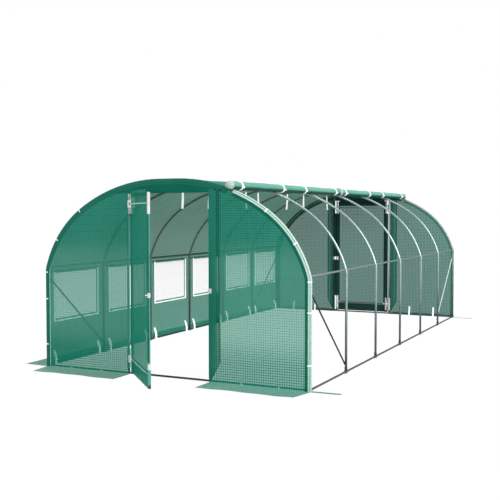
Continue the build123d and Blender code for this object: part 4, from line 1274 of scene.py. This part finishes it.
def ring_path(axis, radius, y, steps):
    """A circle about an axis in X and Z, at a place y."""
    turn = np.linspace(0, 2 * np.pi, steps)
    return stacked(axis[0] + radius * np.cos(turn), y, axis[1] + radius * np.sin(turn))


def twisted(twist):
    """Directions across a strap that runs down, turned from the tunnel's length by the twist."""
    return stacked(np.sin(twist), np.cos(twist), 0.0)


def hoop_dent(angle, y):
    """How far the hoops press into the roll, as a share of its radius that is left.

    Over a hoop the roll's round is cut off by a straight line at the hoop's outside, and it fills out again
    beside the hoop along a flat-topped bell.
    """
    near = np.exp(-((y[..., None] - HOOP_YS) / HOOP_DENT_REACH) ** 4).max(axis=-1)
    line = (ROLL_RADIUS - ROLL_SINK) / np.maximum(np.cos(angle - ROLL_DOWN), LEAST_COSINE) / ROLL_RADIUS
    return 1 - near * (1 - np.minimum(line / DENT_FILL, 1.0))


def roll_squeeze(angle, y):
    """The roll's uneven roundness: soft lumps and slanting folds, dented by the hoops.

    A tie draws it in along a bell curve.
    """
    near = np.exp(-((y[..., None] - TIE_YS) / TIE_PINCH_REACH) ** 2).max(axis=-1)
    lumps = waves(ROLL_LUMPS, angle, y) * np.sin(ROLL_SWELL * y + ROLL_SWELL_START)
    lumps = lumps + waves(ROLL_RIPPLES, angle, y)
    bend = ROLL_FOLD_BEND * np.sin(ROLL_FOLD_WANDER * y)
    folds = waves([(*fold, bend) for fold in ROLL_FOLDS], angle, y)
    return (ROLL_FILL + (lumps + folds) * (1 - near)) * (1 - TIE_PINCH * near) * hoop_dent(angle, y)


def rolled_side():
    """The two panels of the right side, each rolled up from its foot and lying beside the ridge."""
    middle = HOOP_YS[PANEL_BAYS]
    stretches = ((roll_low[1], middle - PANEL_GAP / 2), (middle + PANEL_GAP / 2, roll_high[1]))
    for name, (start, end) in zip(("front_rolled_side", "rear_rolled_side"), stretches):
        y = lines(start, end, step=ROLL_STEP)
        chart = rolled(ROLL_AXIS, y, ROLL_CORE, ROLL_RADIUS, ROLL_DROP, ROLL_DOWN, 24, roll_squeeze)
        piece = surface(name, [chart], "tunnel", ROLLED)
        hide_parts("rolled_side_cover")


def roll_ties():
    """White ties round the roll: a ring drawn tight at each place, and two tails that hang from its knot.

    A tail bows out as a half sine on its way down.
    """
    strips = []
    tight = ROLL_FILL * ROLL_RADIUS * (1 - TIE_PINCH) + 2 * TIE_THICKNESS
    axis_x, axis_z = ROLL_AXIS
    fall = np.linspace(0, 1, 10)
    for index, y in enumerate(TIE_YS):
        strips.append(ribbon(ring_path(ROLL_AXIS, tight, y, 41), ALONG, ROLL_TIE_WIDTH))
        for tail, lean in enumerate(TAIL_LEANS):
            share = 1.0 - TAIL_SHORTER * tail + TAIL_UNEVEN * uneven(index, TAIL_LENGTH_RATE, tail)
            length = TAIL_LENGTH * share
            swing = TAIL_SWING * uneven(index, TAIL_SWING_RATE, 2 * tail)
            out = TAIL_BOW * np.sin(np.pi * fall) + swing * fall
            path = stacked(
                axis_x + tight + TIE_THICKNESS + out,
                y + lean * TAIL_LEAN_REACH * fall,
                axis_z - length * fall - TAIL_STEP_DOWN * tail,
            )
            strips.append(ribbon(path, ALONG, TAIL_WIDTH))
    piece = surface("roll_tie_straps", strips, "tunnel", WEBBING, thickness=TIE_THICKNESS)
    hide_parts("roll_ties")


def roll_lashings():
    """White cloth gathered over the roll's two ends, and lashed round it where its panels meet.

    A ring goes round the roll's axis. Across its width it swells as a half circle, with creases, and at an
    end of the roll its outer part draws in along a quarter circle.
    """
    turn, across = grid(np.linspace(0, 2 * np.pi, 61), np.linspace(-1, 1, 21))
    crease = 1 + waves(LASHING_CREASES, turn, across) * np.sin(LASHING_TWIST * across + turn)
    crease = crease + waves(LASHING_CRINKLES, turn, across)
    puff = LASHING_PUFF * np.sqrt(np.maximum(1 - across ** 2, 0)) * crease
    axis_x, axis_z = ROLL_AXIS
    charts = []
    for y, closed in zip((roll_low[1], HOOP_YS[PANEL_BAYS], roll_high[1]), (-1.0, 0.0, 1.0)):
        past = np.clip((closed * across - LASHING_SHUT) / (1 - LASHING_SHUT), 0, 1) if closed else 0 * across
        drawn = np.sqrt(1 - past ** 2) * (1 - past * LASHING_GATHER * np.sin(9 * turn))
        radius = (ROLL_RADIUS * (LASHING_END_SHARE if closed else LASHING_SHARE) + puff) * drawn
        place = y + closed * LASHING_OUT + LASHING_WIDTH / 2 * across
        radius = radius * hoop_dent(turn, place)
        points = stacked(axis_x + radius * np.cos(turn), place, axis_z + radius * np.sin(turn))
        charts.append((points, stacked(turn * ROLL_RADIUS, across * LASHING_WIDTH / 2)))
    surface("roll_lashings", charts, "tunnel", LASHING, flip=True)


def hanging_straps():
    """The left side's loose straps: each hangs from the roof film, turns and sways towards its end."""
    s = float(crown_distance(STRAP_X - STRAP_IN))
    fall = np.linspace(0, 1, 18)
    for index, y in enumerate(TIE_YS):
        x, z = arch(s, FILM_OFFSET - side_slack(s, y) - LAYER_GAP)
        sway = STRAP_SWAY * fall ** STRAP_SWAY_POWER * uneven(index, STRAP_SWAY_RATE, STRAP_SWAY_TURN * fall)
        drift = STRAP_DRIFT * fall ** 2 * uneven(index, STRAP_DRIFT_RATE)
        twist = STRAP_TWIST + STRAP_TWIST_UNEVEN * uneven(index, STRAP_TWIST_RATE, STRAP_TWIST_START)
        twist = twist * np.sqrt(fall)
        path = stacked(x + sway, y + drift, z - STRAP_LENGTH * fall)
        piece = surface(f"hanging_strap_{index + 1}", [ribbon(path, twisted(twist), STRAP_WIDTH)], "tunnel",
                        WEBBING, thickness=TIE_THICKNESS)
        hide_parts("hanging_straps")


# Windows of the left wall

def wall_points(z, y, layers):
    """Points on the left wall's film, a number of layers inside it."""
    x, height = arch(z, FILM_OFFSET - side_slack(z, y) - layers * LAYER_GAP)
    return stacked(x, y, height)


def piping(bay, half, sill, top):
    """A white bead round a window: a small circle carried down one side, along the foot and up the other."""
    turn = np.linspace(0, 2 * np.pi, 9)[None, :]
    share = np.linspace(0, 1, 24)[:, None]
    side = PIPING_RADIUS * np.sin(turn)
    corners = np.array([(top, -half), (sill, -half), (sill, half), (top, half)])
    charts = []
    for (z0, y0), (z1, y1) in zip(corners, corners[1:]):
        upright = abs(z1 - z0) > abs(y1 - y0)
        z = z0 + (z1 - z0) * share + side * (not upright)
        y = bay + (y0 + (y1 - y0) * share) + side * upright
        bead = wall_points(z, y, 2)
        bead[..., 0] += PIPING_RADIUS * (1 + np.cos(turn))
        charts.append((bead, stacked(np.hypot(z1 - z0, y1 - y0) * share, PIPING_RADIUS * turn)))
    return charts


def window_nets():
    """A net behind each window, a binding along its edges as a second layer, and white piping round it."""
    half, sill = WINDOW_WIDTH / 2 + NET_LAP, WINDOW_SILL - NET_LAP
    top = WINDOW_SILL + WINDOW_HEIGHT + NET_LAP
    inner = half - NET_LAP - BINDING_WIDTH
    z = lines(sill, WINDOW_SILL + BINDING_WIDTH, top, step=NET_STEP)
    across = lines(-half, -inner, inner, half, step=NET_STEP)
    grid_z, grid_across = grid(z, across)
    uv = stacked(grid_across, grid_z)
    bound = (cells(z)[:, None] < WINDOW_SILL + BINDING_WIDTH) | (np.abs(cells(across))[None, :] > inner)
    edges = (WINDOW_WIDTH / 2 + NET_LAP / 2, WINDOW_SILL - NET_LAP / 2, top)
    for index, bay in enumerate(BAY_MIDDLES, start=1):
        charts = [(wall_points(grid_z, bay + grid_across, 1), uv)]
        net = surface(f"window_net_{index}", charts, "tunnel", NET, flip=True)
        charts = [(wall_points(grid_z, bay + grid_across, 2), uv, bound)]
        binding = surface(f"window_binding_{index}", charts, "tunnel", FACING, flip=True)
        bead = surface(f"window_piping_{index}", piping(bay, *edges), "tunnel", WEBBING)
        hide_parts("window_nets")


def flap_squeeze(angle, y):
    """A flap roll's roundness: small lumps along it, drawn in at its two bands along a bell curve."""
    from_middle = y - BAY_MIDDLES[np.abs(y[..., None] - BAY_MIDDLES).argmin(axis=-1)]
    drawn = np.exp(-((np.abs(from_middle) - FLAP_TIE_PLACE) / FLAP_PINCH_REACH) ** 2)
    return (FLAP_FILL + waves(FLAP_LUMPS, angle, y) * (1 - drawn)) * (1 - FLAP_PINCH * drawn)


def window_flaps():
    """Each window's flap rolled up outside over it, held by two narrow bands."""
    axis = (FLAP_X, FLAP_Z)
    tight = FLAP_RADIUS * FLAP_FILL * (1 - FLAP_PINCH) + FLAP_TIE_GAP
    bands = []
    for index, bay in enumerate(BAY_MIDDLES, start=1):
        y = lines(bay - FLAP_REACH, bay + FLAP_REACH, step=FLAP_STEP)
        chart = rolled(axis, y, FLAP_CORE, FLAP_RADIUS, FLAP_DROP, np.pi / 4, 16, flap_squeeze)
        flap = surface(f"window_flap_{index}", [chart], "tunnel", ROLLED_FLAP)
        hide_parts("window_flaps")
        for place in (-FLAP_TIE_PLACE, FLAP_TIE_PLACE):
            bands.append(ribbon(ring_path(axis, tight, bay + place, 25), ALONG, FLAP_TIE_WIDTH))
    surface("window_flap_bands", bands, "tunnel", BAND, thickness=FLAP_TIE_THICKNESS)


# Ties round the base rails, and bolts

def tie_path(rise, bow):
    """A tie seen along its bar, as distances inwards, heights and twists, from a height on the film.

    It comes down the film, bows inwards on its way to the bar's inner side, and goes round under the bar
    and up outside it.
    """
    fall = np.linspace(0, 1, 14)
    turn = np.linspace(0, -TIE_WRAP, 16)[1:]
    inwards = TIE_CLEAR * (2 * soft_step(fall) - 1) + bow * np.sin(np.pi * fall)
    inwards = np.concatenate([inwards, TIE_CLEAR * np.cos(turn)])
    height = np.concatenate([rise + (RAIL_Z - rise) * fall, RAIL_Z + TIE_CLEAR * np.sin(turn)])
    twist = np.concatenate([np.sin(np.pi * fall), 0 * turn]) * bow / TIE_BOW * TIE_TWIST
    return inwards, height, twist


def wall_ties():
    """The left wall's ties beside every hoop: each turns on its way down, and its free end curls inwards.

    The free end is a quarter circle from the bar's inner side to the ground, and a short straight end.
    """
    inwards, height, twist = tie_path(TIE_RISES["wall"], TIE_BOW)
    turn = np.linspace(0, np.pi / 2, 10)
    low = SKIRT_LIFT + TIE_THICKNESS
    curl = TIE_CLEAR + TIE_THICKNESS + TIE_CURL * (1 - np.cos(turn))
    curl = np.append(curl, TIE_CURL_REACH * TIE_CURL + TIE_CLEAR)
    curl_height = np.append(low + TIE_CURL * (1 - np.sin(turn)), low)
    strips = []
    for y in np.concatenate([HOOP_YS[:-1] + TIE_FROM_HOOP, HOOP_YS[1:] - TIE_FROM_HOOP]):
        down = stacked(inwards - LEG_X, y, height)
        free = stacked(curl - LEG_X, y - TIE_CURL_SLANT * (curl - curl[0]), curl_height)
        strips.append(ribbon(down, twisted(twist), WALL_TIE_WIDTH))
        strips.append(ribbon(free, ALONG, WALL_TIE_WIDTH))
    return strips


def base_ties():
    """The ties of the left wall and of both ends."""
    rows = {"wall": wall_ties()}
    for name, place, _ in ENDS:
        inwards, height, _ = tie_path(TIE_RISES[name], 0.0)
        paths = [place(stacked(x, inwards, height)) for x in END_TIE_XS]
        rows[name] = [ribbon(path, (1.0, 0.0, 0.0), TIE_WIDTH) for path in paths]
    for name, strips in rows.items():
        piece = surface(f"{name}_tie_straps", strips, "tunnel", WEBBING,
                        thickness=TIE_THICKNESS)
        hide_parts(f"{name}_ties")


def brace_bolts():
    """Six-sided bolt heads on the flattened ends of the braces, a small profile turned through six steps."""
    turn, ring = grid(np.linspace(0, 2 * np.pi, 7), np.arange(len(BOLT_PROFILE_SHARES)))
    radius = BOLT_PROFILE_SHARES[ring, 0] * BOLT_RADIUS
    rise = BOLT_PROFILE_SHARES[ring, 1] * BOLT_HEIGHT
    uv = stacked(turn * BOLT_RADIUS, rise)
    charts = []
    for hoop_y, next_y in ((HOOP_YS[0], HOOP_YS[1]), (HOOP_YS[-1], HOOP_YS[-2])):
        for y, z in ((hoop_y, BRACE_TOP), (next_y, BRACE_FOOT)):
            for side in (-1, 1):
                x = side * (LEG_X - BRACE_FACE - rise)
                head = stacked(x, y + radius * np.cos(turn), z + side * radius * np.sin(turn))
                charts.append((head, uv))
    surface("brace_bolts", charts, "tunnel", GALVANISED, flip=True, smooth=False)


# The studio and the camera

def seen_rays(mixer):
    """1 for rays from the camera, mirrored rays and rays let through, and 0 for the rest."""
    path = mixer.node("LightPath").outputs
    seen = mixer.math("MAXIMUM", path["Is Camera Ray"], path["Is Glossy Ray"])
    return mixer.math("MAXIMUM", seen, path["Is Transmission Ray"])


def studio_floor():
    """A pale floor that shows as white and keeps a soft shadow."""
    made, mixer = new_finish("studio_floor")
    matt = mixer.node("BsdfDiffuse", {"Color": FLOOR_TONE})
    glow = mixer.node("Emission", {"Color": STUDIO_WHITE, "Strength": FLOOR_GLOW})
    share = mixer.math("MULTIPLY", seen_rays(mixer), FLOOR_GLOW_SHARE)
    mixer.show(mixer.blend(share, matt.outputs[0], glow.outputs[0]))
    reach = np.linspace(-FLOOR_REACH, FLOOR_REACH, 3)
    corners = stacked(*grid(reach, reach), -FLOOR_DROP).reshape(-1, 3)
    mesh = bpy.data.meshes.new("floor")
    mesh.from_pydata(corners.tolist(), [], [(0, 3, 4, 1), (1, 4, 5, 2), (3, 6, 7, 4), (4, 7, 8, 5)])
    mesh.materials.append(made)
    floor = bpy.data.objects.new("floor", mesh)
    bpy.context.scene.collection.objects.link(floor)


def studio_surround():
    """A surround that is seen as white and lights the part dimly."""
    world = bpy.data.worlds.new("studio")
    world.use_nodes = True
    mixer = Mixer(world.node_tree)
    level = mixer.ramp(seen_rays(mixer), 0.0, 1.0, WORLD_LIGHT, 1.0)
    sky = mixer.node("Background", {"Color": STUDIO_WHITE, "Strength": level})
    mixer.node("OutputWorld", {"Surface": sky.outputs[0]})
    bpy.context.scene.world = world


def studio_lamps():
    """Large soft lamps far away, each turned to shine from its direction."""
    for name, strength, size, (x, y, z) in LAMPS:
        light = bpy.data.lights.new(name, "SUN")
        light.energy = strength
        light.angle = size
        lamp = bpy.data.objects.new(name, light)
        lamp.rotation_euler = (np.arctan2(np.hypot(x, y), z), 0.0, np.arctan2(x, -y))
        bpy.context.scene.collection.objects.link(lamp)


def photo_camera():
    """The camera at the photograph's place and angle."""
    lens = bpy.data.cameras.new("photo_camera")
    lens.sensor_width = SENSOR
    lens.lens = CAMERA_LENS
    lens.clip_end = CAMERA_REACH
    camera = bpy.data.objects.new("photo_camera", lens)
    camera.location = CAMERA_PLACE
    camera.rotation_euler = (CAMERA_TILT, 0.0, CAMERA_TURN)
    bpy.context.scene.collection.objects.link(camera)
    bpy.context.scene.camera = camera


FINISHES = {
    "hoop": GALVANISED, "eaves_purlins": GALVANISED, "ridge_beam": GALVANISED, "base_rails": SHADED_RAILS,
    "diagonal_braces": LIT_AND_SHADED_BRACES, "base_bar": GALVANISED, "door_surround": GALVANISED, "door_frame": GALVANISED,
    "foot_tees": BLACK, "door_caps": BLACK, "door_sleeves": WHITE, "post_fittings": WHITE,
}


def dress_frame():
    """Each node of the frame that stays gets the finish of its kind."""
    for name, node in frame["nodes"].items():
        for kind, finish in FINISHES.items():
            if kind in name:
                node.data.materials.clear()
                node.data.materials.append(finish)


dress_frame()
side_cover()
for end_name, end_place, _ in ENDS:
    end_sheet(end_name, end_place)
    door_sheet(end_name, end_place)
arch_hems()
open_side_strips()
hoop_loops()
jamb_bands()
jamb_edges()
tube_pockets()
header_bands()
rolled_side()
roll_ties()
roll_lashings()
hanging_straps()
window_nets()
window_flaps()
base_ties()
brace_bolts()
studio_floor()
studio_surround()
studio_lamps()
photo_camera()
bpy.context.scene.view_settings.view_transform = "Standard"
bpy.context.scene.cycles.transparent_max_bounces = CLEAR_LAYERS
